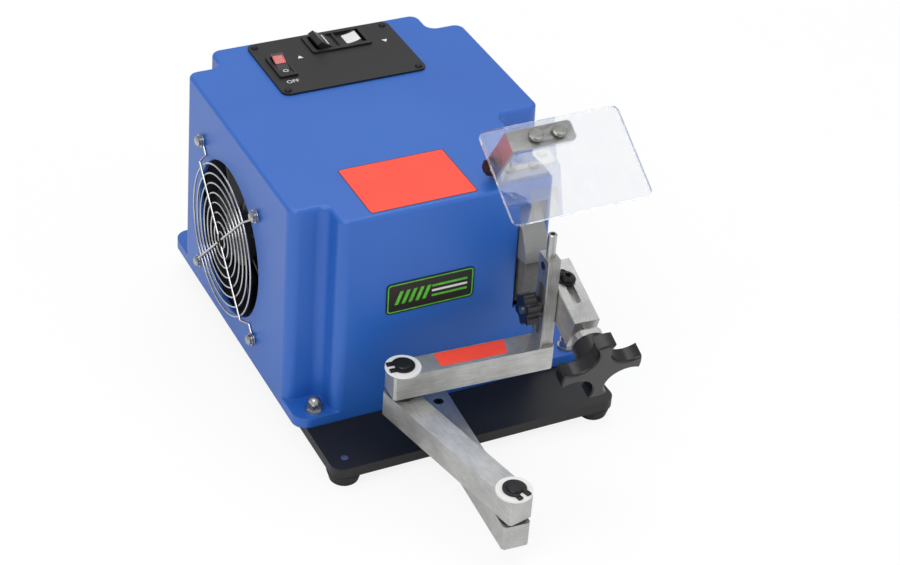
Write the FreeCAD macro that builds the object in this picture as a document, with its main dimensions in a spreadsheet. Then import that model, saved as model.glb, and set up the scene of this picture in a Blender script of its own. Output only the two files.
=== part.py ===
import FreeCAD, Part
import math
import os
import types

import Sketcher

# Bench grinder for scissor and clipper blades: a small wheel in a moulded housing, and a blade clamp on a
# folding arm of three bars. Millimetres. Z is up, Y runs from the front to the back, X from left to right.
# Places are first given from the housing's front left top corner line, and the bench is at z = 0. The last
# step moves everything so that the origin is the middle of the front left foot, on the bench.

V = FreeCAD.Vector

SIZES = [
    ("plate_top", 17.5, "height of the base plate's upper face above the bench"),
    ("plate_thick", 8.0, "base plate thickness"),
    ("plate_left", 4.4, "base plate, left edge"),
    ("plate_beyond", 3.1, "base plate beyond the housing's right side"),
    ("plate_front", -52.5, "base plate, front edge"),
    ("plate_short", 0.7, "base plate's back edge inside the housing's back"),
    ("plate_corner", 9.0, "base plate corner radius"),
    ("foot_inset", 12.0, "foot centre from the plate's side edges"),
    ("foot_radius", 12.5, "foot radius at the plate"),
    ("foot_taper", 2.2, "foot radius lost towards the bench"),
    ("foot_screw_radius", 1.5, "foot screw shank radius"),
    ("foot_screw_head", 2.6, "foot screw head radius"),
    ("shell_width", 220.4, "housing at its top, left to right"),
    ("shell_depth", 244.2, "housing at its top, front to back"),
    ("shell_top", 181.8, "height of the housing's top above the bench"),
    ("shell_wall", 3.2, "housing wall"),
    ("shell_draft", 0.9, "mould draft of the housing's sides, degrees"),
    ("shell_corner", 7.5, "housing upright corner radius"),
    ("shell_rim", 2.6, "housing top rim radius"),
    ("notch_width", 26.5, "corner notch, along X"),
    ("notch_depth", 24.0, "corner notch, along Y"),
    ("nose_width", 186.0, "width of the housing's front part"),
    ("nose_depth", 90.0, "length of the housing's front part"),
    ("lug_height", 8.0, "height of the foot lugs and the skirt"),
    ("lug_corner", 11.0, "skirt corner radius"),
    ("stud_inset_left", 16.6, "housing stud from the skirt's left side"),
    ("stud_inset_right", 9.5, "housing stud from the skirt's right side"),
    ("stud_inset_y", 9.8, "housing stud from the skirt's front or back"),
    ("stud_radius", 3.0, "housing stud radius"),
    ("stud_washer_radius", 6.6, "stud washer radius"),
    ("stud_washer_thick", 1.4, "stud washer thickness"),
    ("nut_flats", 10.0, "dome nut across flats"),
    ("nut_height", 5.0, "dome nut hexagon height"),
    ("fit_gap", 0.05, "running clearance of a shaft in its hole, on the radius"),
    ("easy_gap", 0.3, "clearance between parts that move past each other"),
    ("fan_y", 133.0, "fan axis from the front"),
    ("fan_z", 92.2, "fan axis height"),
    ("fan_size", 120.0, "fan frame side"),
    ("fan_thick", 25.0, "fan frame depth"),
    ("fan_wall", 2.2, "fan frame wall beside its duct"),
    ("fan_screw_edge", 7.5, "fan screws from the fan's edges"),
    ("fan_hub", 21.0, "fan hub radius"),
    ("guard_wire", 0.8, "fan guard spoke wire radius"),
    ("ring_wire", 0.65, "fan guard ring wire radius"),
    ("guard_first", 6.3, "radius of the guard's centre ring"),
    ("guard_clear", 1.8, "guard's outer ring inside the fan duct"),
    ("guard_stand", 6.5, "height of the guard's spokes off the housing"),
    ("guard_eye", 3.2, "radius of the guard's screw eyes"),
    ("guard_screw", 2.0, "guard screw shank radius"),
    ("wheel_y", 42.0, "wheel axis from the front"),
    ("wheel_z", 115.5, "wheel axis height"),
    ("wheel_radius", 50.8, "grinding wheel radius"),
    ("wheel_inset", 22.5, "wheel's left face from the right side of the housing's front part"),
    ("wheel_width", 15.0, "grinding wheel width"),
    ("arbor_radius", 6.35, "arbor radius"),
    ("flange_radius", 14.0, "wheel flange radius"),
    ("flange_thick", 2.5, "wheel flange thickness"),
    ("cover_gap", 2.6, "gap between the wheel and its cover"),
    ("cover_thick", 1.5, "wheel cover sheet thickness"),
    ("window_near", 3.5, "wheel window beyond the wheel's left face"),
    ("window_far", 2.3, "wheel window beyond the wheel's right face"),
    ("window_low", 80.0, "wheel window, lower edge"),
    ("window_high", 165.5, "wheel window, upper edge"),
    ("inlet_x", 60.0, "power inlet centre"),
    ("inlet_z", 52.0, "power inlet centre height"),
    ("inlet_wide", 27.5, "power inlet body, left to right"),
    ("inlet_high", 20.0, "power inlet body height"),
    ("inlet_pitch", 40.0, "distance between the inlet's screws"),
    ("inlet_screw", 1.75, "inlet screw shank radius"),
    ("motor_radius", 35.5, "motor radius"),
    ("motor_left", 46.0, "motor, left end"),
    ("motor_length", 96.0, "motor length"),
    ("bracket_thick", 4.0, "motor bracket sheet thickness"),
    ("bracket_foot", 45.0, "motor bracket foot length"),
    ("foot_bolt_far", 34.0, "far frame bolts from the motor's end"),
    ("foot_bolt_near", 12.0, "near frame bolts from the motor's end"),
    ("frame_bolt", 2.5, "inner frame bolt radius"),
    ("bolt_grip", 6.0, "frame bolt beyond the bracket"),
    ("motor_bolt_pitch", 44.0, "distance between the motor's bolts"),
    ("panel_left", 53.0, "control panel, left edge"),
    ("panel_width", 113.5, "control panel, left to right"),
    ("panel_margin", 4.7, "control panel from the housing's back edge"),
    ("panel_depth", 75.5, "control panel, front to back"),
    ("panel_thick", 1.6, "control panel thickness"),
    ("panel_corner", 6.0, "control panel corner radius"),
    ("panel_screw_inset", 5.2, "panel screw from the panel's edges"),
    ("panel_screw", 1.5, "panel screw shank radius"),
    ("switch_in", 13.3, "rocker switch centre from the panel's left edge"),
    ("switch_back", 38.0, "rocker switch centre from the panel's back edge"),
    ("switch_width", 14.5, "rocker switch frame, left to right"),
    ("switch_depth", 31.0, "rocker switch frame, front to back"),
    ("switch_tilt", 9.0, "rocker tilt at rest, degrees"),
    ("switch_ledge", 1.6, "rocker switch frame beyond its case"),
    ("switch_case", 18.0, "rocker switch case below the panel"),
    ("turn_in", 66.5, "direction switch centre from the panel's left edge"),
    ("turn_back", 15.5, "direction switch centre from the panel's back edge"),
    ("turn_width", 48.0, "direction switch frame, left to right"),
    ("turn_depth", 26.5, "direction switch frame, front to back"),
    ("turn_rim", 1.5, "direction switch frame above the panel"),
    ("turn_border", 3.6, "width of the direction switch's frame"),
    ("turn_ledge", 2.5, "direction switch frame beyond its case"),
    ("turn_case", 24.0, "direction switch case below the panel"),
    ("turn_tilt", 9.0, "direction paddle tilt at rest, degrees"),
    ("turn_saddle", 32.0, "radius of the hollow across the direction paddle"),
    ("switch_rim", 1.8, "rocker switch frame above the panel"),
    ("paddle_pin", 1.4, "radius of the pins that the paddles turn on"),
    ("shield_axis_y", 13.0, "eye shield pivot from the front"),
    ("shield_axis_rise", 11.2, "eye shield pivot above the housing"),
    ("shield_tilt", 32.0, "eye shield slope at rest, degrees"),
    ("shield_left", 123.5, "eye shield, left edge"),
    ("shield_width", 105.0, "eye shield, left to right"),
    ("shield_length", 70.0, "eye shield, along its slope"),
    ("shield_back", 10.5, "eye shield edge behind its pivot"),
    ("shield_thick", 3.0, "eye shield thickness"),
    ("shield_stand", 35.5, "eye shield above its pivot"),
    ("shield_corner", 5.0, "eye shield corner radius"),
    ("shield_screw", 2.0, "eye shield screw shank radius"),
    ("strap_thick", 2.4, "shield strap sheet thickness"),
    ("strap_first", 20.0, "first shield screw from the strap's leg"),
    ("strap_second", 37.5, "second shield screw from the strap's leg"),
    ("ear_length", 37.5, "shield bracket along the housing's top"),
    ("ear_first", 12.5, "first bracket screw from the bracket's ear"),
    ("ear_second", 30.5, "second bracket screw from the bracket's ear"),
    ("strap_width", 15.0, "shield strap width"),
    ("strap_length", 49.0, "shield strap along the plate"),
    ("strap_left", 143.0, "shield strap, left face of its leg"),
    ("pivot_screw", 3.0, "shield pivot bolt radius"),
    ("bar_side", 19.0, "side of the arm's square bars"),
    ("bar_chamfer", 1.6, "chamfer of the bars' ends"),
    ("bar_end", 9.5, "bar beyond its pivot"),
    ("arm_gap", 2.5, "spacer between the arm's bars"),
    ("arm_pin", 5.8, "arm pivot pin radius"),
    ("pivot_roof", 6.5, "lower bar above its pivot pin"),
    ("pivot_bolt", 2.0, "base pivot bolt radius"),
    ("pivot_head", 3.3, "base pivot bolt head radius"),
    ("washer_radius", 12.4, "nylon washer radius"),
    ("base_pivot_x", 90.5, "arm pivot on the base plate"),
    ("base_pivot_y", -32.0, "arm pivot on the base plate"),
    ("lower_reach", 126.7, "lower bar, pivot to pivot"),
    ("lower_angle", -93.4, "direction of the lower bar, degrees"),
    ("middle_reach", 122.1, "middle bar, pivot to pivot"),
    ("middle_angle", 101.9, "direction of the middle bar, degrees"),
    ("upper_reach", 108.7, "upper bar, pivot to its free end"),
    ("upper_angle", -3.3, "direction of the upper bar, degrees"),
    ("post_width", 9.5, "clamp post, along the upper bar"),
    ("post_depth", 15.9, "clamp post, across the upper bar"),
    ("post_height", 69.5, "clamp post height"),
    ("tenon_width", 5.5, "post's tongue in the upper bar, along the bar"),
    ("tenon_depth", 10.0, "post's tongue in the upper bar, across the bar"),
    ("tenon_length", 12.0, "length of the post's tenon"),
    ("slot_low", 6.5, "post slot's lower end above the bar"),
    ("slot_high", 49.0, "post slot's upper end above the bar"),
    ("rod_radius", 3.175, "rest rod radius"),
    ("rod_root", 2.4, "radius of the rest rod's root in the post"),
    ("rod_rise", 18.0, "rest rod above the post"),
    ("rod_sunk", 14.0, "rest rod inside the post"),
    ("stud_rise", 28.5, "clamp stud above the upper bar"),
    ("clamp_stud", 3.0, "clamp stud radius"),
    ("clamp_tilt", 17.0, "slope of the clamp at rest, degrees"),
    ("clamp_width", 19.0, "clamp body, left to right"),
    ("clamp_length", 54.0, "clamp body, front to back"),
    ("clamp_height", 26.0, "clamp body height"),
    ("clamp_back", 23.0, "clamp body behind its stud"),
    ("clamp_over", 17.0, "clamp body above its stud"),
    ("lip_thick", 5.0, "clamp body's upper wall"),
    ("tunnel_width", 12.4, "slide way inside the clamp body"),
    ("tunnel_height", 16.0, "slide way height"),
    ("end_block", 8.0, "solid front end of the clamp body"),
    ("mouth_depth", 11.0, "blade mouth, front to back"),
    ("mouth_height", 7.0, "blade mouth height"),
    ("slide_gap", 0.2, "clearance of the jaw in its slide way"),
    ("jaw_travel", 5.0, "travel of the jaw"),
    ("jaw_screw", 2.5, "jaw screw radius"),
    ("jaw_screw_back", 8.5, "jaw screw behind the clamp stud"),
    ("slot_front", 15.0, "front end of the clamp body's slot, before its stud"),
    ("slot_back", 15.0, "back end of the clamp body's slot, behind its stud"),
    ("guide_pin", 1.75, "jaw guide pin radius"),
    ("guide_pitch", 10.6, "distance between the guide pins"),
    ("collar_gap", 4.0, "gap between the clamp body and its collar"),
    ("collar_thick", 5.0, "collar plate thickness"),
    ("collar_height", 20.0, "collar plate height"),
    ("spindle", 3.0, "clamp spindle radius"),
    ("hub_radius", 12.0, "star knob hub radius"),
    ("hub_length", 14.0, "star knob hub length"),
    ("star_radius", 29.0, "star knob radius"),
    ("star_thick", 11.5, "star knob arm thickness"),
    ("star_arm", 14.0, "star knob arm width"),
    ("star_hollow", 15.2, "radius of the hollows between the star knob's arms"),
    ("small_knob", 11.5, "small knob radius"),
    ("small_knob_length", 13.0, "small knob length"),
    ("lobe_hollow", 5.0, "radius of the hollows between the small knob's lobes"),
]


class Dim:
    """A size with the sheet expression that it comes from."""

    def __init__(self, value, text):
        self.value = float(value)
        self.text = text

    @staticmethod
    def of(item):
        if isinstance(item, Dim):
            return item
        return Dim(item, "(%.6f)" % float(item))

    def __add__(self, other):
        other = Dim.of(other)
        return Dim(self.value + other.value, "(%s + %s)" % (self.text, other.text))

    def __sub__(self, other):
        other = Dim.of(other)
        return Dim(self.value - other.value, "(%s - %s)" % (self.text, other.text))

    def __mul__(self, other):
        other = Dim.of(other)
        return Dim(self.value * other.value, "(%s * %s)" % (self.text, other.text))

    def __truediv__(self, other):
        other = Dim.of(other)
        return Dim(self.value / other.value, "(%s / %s)" % (self.text, other.text))

    def __radd__(self, other):
        return Dim.of(other) + self

    def __rsub__(self, other):
        return Dim.of(other) - self

    def __rmul__(self, other):
        return Dim.of(other) * self

    def __neg__(self):
        return Dim.of(0.0) - self

    def __float__(self):
        return self.value


doc = FreeCAD.newDocument("BladeGrinder")
sheet = doc.addObject("Spreadsheet::Sheet", "Sizes")
for row, (alias, number, note) in enumerate(SIZES, start=1):
    sheet.set("A%d" % row, note)
    sheet.set("B%d" % row, str(number))
    sheet.setAlias("B%d" % row, alias)
doc.recompute()
s = types.SimpleNamespace(**{alias: Dim(number, "Sizes.%s" % alias) for alias, number, note in SIZES})

made = []


def bind(item, prop, size):
    """Tie a property to the sheet."""
    item.setExpression(prop, Dim.of(size).text)


def plane_of(body, role):
    return [item for item in body.Origin.OriginFeatures if item.Role == role][0]


def new_body(label):
    body = doc.addObject("PartDesign::Body", label)
    body.Label = label
    made.append(body)
    return body


def new_sketch(body, name, role="XY_Plane", height=0.0):
    """A sketch on one of the body's own origin planes, raised by a height."""
    sketch = body.newObject("Sketcher::SketchObject", name)
    sketch.AttachmentSupport = [(plane_of(body, role), "")]
    sketch.MapMode = "FlatFace"
    sketch.AttachmentOffset = FreeCAD.Placement(V(0, 0, float(height)), FreeCAD.Rotation())
    bind(sketch, "AttachmentOffset.Base.z", height)
    return sketch


def pin_point(sketch, geometry, point, where):
    """Hold a sketch point at the two sizes in where."""
    for kind, size in zip(("DistanceX", "DistanceY"), where):
        number = sketch.addConstraint(Sketcher.Constraint(kind, -1, 1, geometry, point, float(size)))
        bind(sketch, "Constraints[%d]" % number, size)


def arc_through(start, end, radius):
    """The shorter arc between two points. It bulges to the right of the way for a positive radius."""
    run = end - start
    half = run.Length / 2
    size = abs(radius)
    rise = size - math.sqrt(size * size - half * half)
    side = V(run.y, -run.x, 0).normalize() * math.copysign(rise, radius)
    return Part.Arc(start, (start + end) / 2 + side, end)


def outline(sketch, corners):
    """A closed outline through the corners. A corner with a third value starts an arc of that radius."""
    first = sketch.GeometryCount
    count = len(corners)
    starts = []
    ends = []
    for index, corner in enumerate(corners):
        following = corners[(index + 1) % count]
        start = V(float(corner[0]), float(corner[1]), 0)
        end = V(float(following[0]), float(following[1]), 0)
        radius = float(corner[2]) if len(corner) == 3 else 0.0
        curve = arc_through(start, end, radius) if radius else Part.LineSegment(start, end)
        sketch.addGeometry(curve, False)
        starts.append(2 if radius < 0 else 1)
        ends.append(1 if radius < 0 else 2)
    for index in range(count):
        after = (index + 1) % count
        rule = Sketcher.Constraint("Coincident", first + index, ends[index], first + after, starts[after])
        sketch.addConstraint(rule)
    for index, corner in enumerate(corners):
        pin_point(sketch, first + index, starts[index], corner[:2])
        if len(corner) == 3:
            size = corner[2] if float(corner[2]) > 0 else -corner[2]
            rule = sketch.addConstraint(Sketcher.Constraint("Radius", first + index, float(size)))
            bind(sketch, "Constraints[%d]" % rule, size)


def rectangle(sketch, left, low, right, high):
    outline(sketch, [(left, low), (right, low), (right, high), (left, high)])


def centred(sketch, x, y, half_x, half_y):
    """A rectangle about its middle."""
    rectangle(sketch, x - half_x, y - half_y, x + half_x, y + half_y)


def circle(sketch, x, y, radius):
    number = sketch.GeometryCount
    sketch.addGeometry(Part.Circle(V(float(x), float(y), 0), V(0, 0, 1), float(radius)), False)
    pin_point(sketch, number, 3, (x, y))
    rule = sketch.addConstraint(Sketcher.Constraint("Radius", number, float(radius)))
    bind(sketch, "Constraints[%d]" % rule, radius)


def pad(body, sketch, length, back=False, taper=None):
    feature = body.newObject("PartDesign::Pad", sketch.Name + "Pad")
    feature.Profile = sketch
    feature.Length = float(length)
    feature.Reversed = back
    bind(feature, "Length", length)
    if taper is not None:
        bind(feature, "TaperAngle", taper)
    doc.recompute()
    return feature


def pocket(body, sketch, length, back=False, taper=None):
    """Cut the sketch out of the body, and make sure that it does cut."""
    before = body.Tip.Shape.Volume
    feature = body.newObject("PartDesign::Pocket", sketch.Name + "Pocket")
    feature.Profile = sketch
    feature.Length = float(length)
    feature.Reversed = back
    bind(feature, "Length", length)
    if taper is not None:
        bind(feature, "TaperAngle", taper)
    doc.recompute()
    if not feature.Shape.Volume < before:
        raise RuntimeError("%s cuts nothing" % feature.Name)
    return feature


def round_edges(body, radius, wanted, kind="Fillet"):
    """Fillet or chamfer the edges that wanted() picks."""
    base = body.Tip
    names = ["Edge%d" % (index + 1) for index, edge in enumerate(base.Shape.Edges) if wanted(edge)]
    if not names:
        raise RuntimeError("no edge to round in %s" % body.Label)
    feature = body.newObject("PartDesign::" + kind, body.Label + kind)
    feature.Base = (base, names)
    bind(feature, "Radius" if kind == "Fillet" else "Size", radius)
    doc.recompute()
    return feature


def along(axis, slack=0.05):
    """A test for straight edges that run along an axis, give or take a small draft."""
    def test(edge):
        if len(edge.Vertexes) != 2:
            return False
        run = edge.Vertexes[1].Point - edge.Vertexes[0].Point
        straight = abs(edge.Length - run.Length) < 0.001
        return straight and abs(run.dot(axis)) > (1 - slack) * run.Length
    return test


def level(height, slack=0.01):
    """A test for edges that lie at one height."""
    def test(edge):
        box = edge.BoundBox
        return abs(box.ZMin - float(height)) < slack and abs(box.ZMax - float(height)) < slack
    return test


def beyond(axis, limit):
    """A test for edges that lie wholly past a limit along x, y or z."""
    name = axis.upper() + "Min"
    return lambda edge: getattr(edge.BoundBox, name) > float(limit)


def within(low, high, axes):
    """A test for edges that lie in a box, which is open along the axes that aren't named."""
    def test(edge):
        box = edge.BoundBox
        inside = [
            getattr(box, name.upper() + "Min") > getattr(low, name) - 0.1
            and getattr(box, name.upper() + "Max") < getattr(high, name) + 0.1
            for name in axes
        ]
        return all(inside)
    return test


def both(first, second):
    """A test that passes what the two tests pass."""
    return lambda edge: first(edge) and second(edge)


def turned(label, profile):
    """A round piece about its own Z axis. The profile's corners are (radius, height)."""
    body = new_body(label)
    sketch = new_sketch(body, label + "Profile", "XZ_Plane")
    outline(sketch, profile)
    feature = body.newObject("PartDesign::Revolution", label + "Turn")
    feature.Profile = sketch
    feature.ReferenceAxis = (sketch, ["V_Axis"])
    feature.Angle = 360.0
    doc.recompute()
    return body


def hexagon(radius_flats):
    """Corners of a hexagon about the origin, from its size across flats."""
    reach = radius_flats / (2 * math.cos(math.radians(30)))
    turns = [math.radians(60 * k) for k in range(6)]
    return [(reach * math.cos(turn), reach * math.sin(turn)) for turn in turns]


def place(item, x=0.0, y=0.0, z=0.0, turn=None):
    item.Placement = FreeCAD.Placement(V(float(x), float(y), float(z)), turn or FreeCAD.Rotation())
    return item


def shaped(label, shape):
    """A piece whose shape comes straight from Part's own functions."""
    item = doc.addObject("Part::Feature", label)
    item.Label = label
    item.Shape = shape
    made.append(item)
    return item


def repeated(label, pattern, spots):
    """One node with a copy of the pattern piece at each spot. The pattern piece itself isn't kept apart."""
    made.remove(pattern)
    copies = []
    for spot in spots:
        copy = pattern.Shape.copy()
        copy.Placement = spot
        copies.append(copy)
    return shaped(label, Part.makeCompound(copies))


def at(x, y, z, turn=None):
    return FreeCAD.Placement(V(float(x), float(y), float(z)), turn or FreeCAD.Rotation())


TO_RIGHT = FreeCAD.Rotation(V(0, 1, 0), 90)
TO_LEFT = FreeCAD.Rotation(V(0, 1, 0), -90)
TO_FRONT = FreeCAD.Rotation(V(1, 0, 0), 90)
TO_BACK = FreeCAD.Rotation(V(1, 0, 0), -90)


# Base plate and feet

wheel_left = s.nose_width - s.wheel_inset
window_left = wheel_left - s.window_near
window_right = wheel_left + s.wheel_width + s.window_far
plate_right = s.shell_width + s.plate_beyond
plate_back = s.shell_depth - s.plate_short
plate_under = s.plate_top - s.plate_thick
foot_spots = [
    (x, y)
    for x in (s.plate_left + s.foot_inset, plate_right - s.foot_inset)
    for y in (s.plate_front + s.foot_inset, plate_back - s.foot_inset)
]
flare = (s.shell_top - s.plate_top) * math.tan(math.radians(float(s.shell_draft)))
skirt_left = -flare
skirt_right = s.shell_width + flare
skirt_front = -flare
skirt_back = s.shell_depth + flare
stud_spots = [
    (x, y)
    for x in (skirt_left + s.stud_inset_left, skirt_right - s.stud_inset_right)
    for y in (skirt_front + s.stud_inset_y, skirt_back - s.stud_inset_y)
]


panel_right = s.panel_left + s.panel_width
panel_back = s.shell_depth - s.panel_margin
panel_front = panel_back - s.panel_depth
switch_x = s.panel_left + s.switch_in
switch_y = panel_back - s.switch_back
turn_x = s.panel_left + s.turn_in
turn_y = panel_back - s.turn_back
panel_screws = [
    (x, y)
    for x in (s.panel_left + s.panel_screw_inset, panel_right - s.panel_screw_inset)
    for y in (panel_front + s.panel_screw_inset, panel_back - s.panel_screw_inset)
]
plate_bolts = [
    (s.motor_left + s.motor_length - back, s.wheel_y + side * s.motor_bolt_pitch / 2)
    for back in (s.foot_bolt_far, s.foot_bolt_near) for side in (-1, 1)
]
ear_left = s.strap_left + s.strap_thick + s.easy_gap
bracket_screws = [(ear_left + along_x, s.shield_axis_y + 2.5) for along_x in (s.ear_first, s.ear_second)]


def make_base_plate():
    body = new_body("base_plate")
    sketch = new_sketch(body, "PlateOutline", height=plate_under)
    rectangle(sketch, s.plate_left, s.plate_front, plate_right, plate_back)
    pad(body, sketch, s.plate_thick)
    round_edges(body, s.plate_corner, along(V(0, 0, 1)))
    holes = new_sketch(body, "PlateHoles", height=s.plate_top)
    for x, y in foot_spots:
        circle(holes, x, y, s.foot_screw_radius)
    for x, y in stud_spots:
        circle(holes, x, y, s.stud_radius)
    circle(holes, s.base_pivot_x, s.base_pivot_y, s.arm_pin)
    pocket(body, holes, s.plate_thick)
    taps = new_sketch(body, "BoltTaps", height=s.plate_top)
    for x, y in plate_bolts:
        circle(taps, x, y, s.frame_bolt)
    pocket(body, taps, s.bolt_grip + 0.5)
    sinks = new_sketch(body, "ScrewSinks", height=s.plate_top)
    for x, y in foot_spots:
        circle(sinks, x, y, s.foot_screw_head)
    pocket(body, sinks, s.foot_screw_head / 2)


def make_feet():
    tip = s.foot_radius - s.foot_taper
    edge = 1.0
    foot = turned("foot", [
        (0, 0),
        (tip - edge, 0),
        (tip, edge),
        (s.foot_radius, plate_under - edge),
        (s.foot_radius - edge, plate_under),
        (s.foot_screw_radius, plate_under),
        (s.foot_screw_radius, 3.0),
        (0, 3.0),
    ])
    repeated("rubber_feet", foot, [at(x, y, 0) for x, y in foot_spots])
    top = s.plate_top
    screw = turned("foot_screw", [
        (0, 3.0),
        (s.foot_screw_radius, 3.0),
        (s.foot_screw_radius, top - s.foot_screw_head / 2),
        (s.foot_screw_head, top - 0.2),
        (s.foot_screw_head, top),
        (0, top),
    ])
    repeated("foot_screws", screw, [at(x, y, 0) for x, y in foot_spots])


# Housing

def plan(inset):
    """The housing's plan with its corner notches, moved inwards by the inset."""
    left = 0 + Dim.of(inset)
    right = s.shell_width - inset
    front = 0 + Dim.of(inset)
    back = s.shell_depth - inset
    notch_left = s.notch_width + inset
    notch_right = s.shell_width - s.notch_width - inset
    notch_front = s.notch_depth + inset
    notch_back = s.shell_depth - s.notch_depth - inset
    nose_right = s.nose_width - inset
    nose_back = s.nose_depth + inset
    return [
        (notch_left, front), (nose_right, front), (nose_right, nose_back), (right, nose_back),
        (right, notch_back), (notch_right, notch_back), (notch_right, back), (notch_left, back),
        (notch_left, notch_back), (left, notch_back), (left, notch_front), (notch_left, notch_front),
    ]


def switch_holes(sketch):
    """The openings for the cases of the two switches."""
    ledge = s.switch_ledge - 0.1
    centred(sketch, switch_x, switch_y, s.switch_width / 2 - ledge, s.switch_depth / 2 - ledge)
    ledge = s.turn_ledge - 0.1
    centred(sketch, turn_x, turn_y, s.turn_width / 2 - ledge, s.turn_depth / 2 - ledge)


def wall_at(height):
    """Where the housing's drafted left wall stands at a height."""
    return (height - s.shell_top) * math.tan(math.radians(float(s.shell_draft)))


def make_housing():
    body = new_body("housing")
    height = s.shell_top - s.plate_top
    outer = new_sketch(body, "ShellPlan", height=s.shell_top)
    outline(outer, plan(0))
    pad(body, outer, height, back=True, taper=s.shell_draft)
    round_edges(body, s.shell_corner, along(V(0, 0, 1)))
    round_edges(body, s.shell_rim, level(s.shell_top))
    lug_top = s.plate_top + s.lug_height
    out = -wall_at(lug_top)
    skirt = new_sketch(body, "SkirtPlan", height=lug_top)
    rectangle(skirt, -out, -out, s.shell_width + out, s.shell_depth + out)
    pad(body, skirt, s.lug_height, back=True, taper=s.shell_draft)
    corners = [(float(x), float(y)) for x in (skirt_left, skirt_right) for y in (skirt_front, skirt_back)]

    def at_corner(edge):
        box = edge.BoundBox
        near = any(abs(box.Center.x - x) < 0.5 and abs(box.Center.y - y) < 0.5 for x, y in corners)
        return near and box.ZMax < float(lug_top) + 0.1 and along(V(0, 0, 1))(edge)

    round_edges(body, s.lug_corner, at_corner)
    hollow = new_sketch(body, "HollowPlan", height=s.shell_top - s.shell_wall)
    outline(hollow, plan(s.shell_wall))
    pocket(body, hollow, height, taper=s.shell_draft)
    window = new_sketch(body, "WheelWindow", "XZ_Plane", s.shell_wall * 2)
    rectangle(window, window_left, s.window_low, window_right, s.window_high)
    pocket(body, window, s.shell_wall * 4)
    ports = new_sketch(body, "FanPort", "YZ_Plane", height=s.shell_wall * 2)
    circle(ports, s.fan_y, s.fan_z, fan_bore)
    half = fan_pitch / 2
    for across in (-1, 1):
        for up in (-1, 1):
            circle(ports, s.fan_y + across * half, s.fan_z + up * half, s.guard_screw)
    pocket(body, ports, s.shell_wall * 5)
    top = new_sketch(body, "TopHoles", height=s.shell_top)
    switch_holes(top)
    for x, y in panel_screws:
        circle(top, x, y, s.panel_screw)
    for x, y in bracket_screws:
        circle(top, x, y, s.panel_screw)
    pocket(body, top, s.shell_wall)
    lugs = new_sketch(body, "LugHoles", height=lug_top)
    for x, y in stud_spots:
        circle(lugs, x, y, s.stud_radius + s.easy_gap)
    pocket(body, lugs, s.lug_height)
    back = new_sketch(body, "InletPort", "XZ_Plane", height=-s.shell_depth - flare)
    rectangle(back, s.inlet_x - s.inlet_wide / 2, s.inlet_z - s.inlet_high / 2,
              s.inlet_x + s.inlet_wide / 2, s.inlet_z + s.inlet_high / 2)
    for side in (-1, 1):
        circle(back, s.inlet_x + side * s.inlet_pitch / 2, s.inlet_z, s.inlet_screw)
    pocket(body, back, s.shell_wall * 2, back=True)


def make_housing_fasteners():
    lug_top = s.plate_top + s.lug_height
    washer_top = lug_top + s.stud_washer_thick
    stud_top = washer_top + s.nut_height + 1.5
    stud = turned("stud", [
        (0, plate_under), (s.stud_radius, plate_under), (s.stud_radius, stud_top), (0, stud_top),
    ])
    repeated("housing_studs", stud, [at(x, y, 0) for x, y in stud_spots])
    washer = turned("stud_washer", [
        (s.stud_radius + s.easy_gap, lug_top), (s.stud_washer_radius, lug_top),
        (s.stud_washer_radius, washer_top), (s.stud_radius + s.easy_gap, washer_top),
    ])
    repeated("stud_washers", washer, [at(x, y, 0) for x, y in stud_spots])
    nut = new_body("dome_nut")
    flats = new_sketch(nut, "NutFlats", height=washer_top)
    outline(flats, hexagon(s.nut_flats))
    pad(nut, flats, s.nut_height)
    dome = new_sketch(nut, "NutDome", "XZ_Plane")
    radius = s.nut_flats / 2 - 0.6
    low = washer_top + s.nut_height
    outline(dome, [(0, low - 1), (radius, low - 1), (radius, low, radius), (0, low + radius)])
    turn = nut.newObject("PartDesign::Revolution", "NutDomeTurn")
    turn.Profile = dome
    turn.ReferenceAxis = (dome, ["V_Axis"])
    turn.Angle = 360.0
    doc.recompute()
    bore = new_sketch(nut, "NutBore", height=stud_top)
    circle(bore, 0, 0, s.stud_radius)
    pocket(nut, bore, stud_top - washer_top)
    repeated("dome_nuts", nut, [at(x, y, 0) for x, y in stud_spots])


# Fan and its wire guard

fan_bore = s.fan_size / 2 - s.fan_wall
fan_pitch = s.fan_size - s.fan_screw_edge * 2
guard_last = fan_bore - s.guard_clear


def ring(radius, wire, x):
    torus = Part.makeTorus(float(radius), float(wire))
    torus.Placement = at(x, s.fan_y, s.fan_z, TO_RIGHT)
    return torus


def wire_run(points, radius):
    """A round wire through points, with mitred corners."""
    path = Part.makePolygon(points)
    start = Part.Circle(points[0], points[1] - points[0], float(radius))
    section = Part.Wire([start.toShape()])
    return path.makePipeShell([section], True, False, 1)


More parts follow.
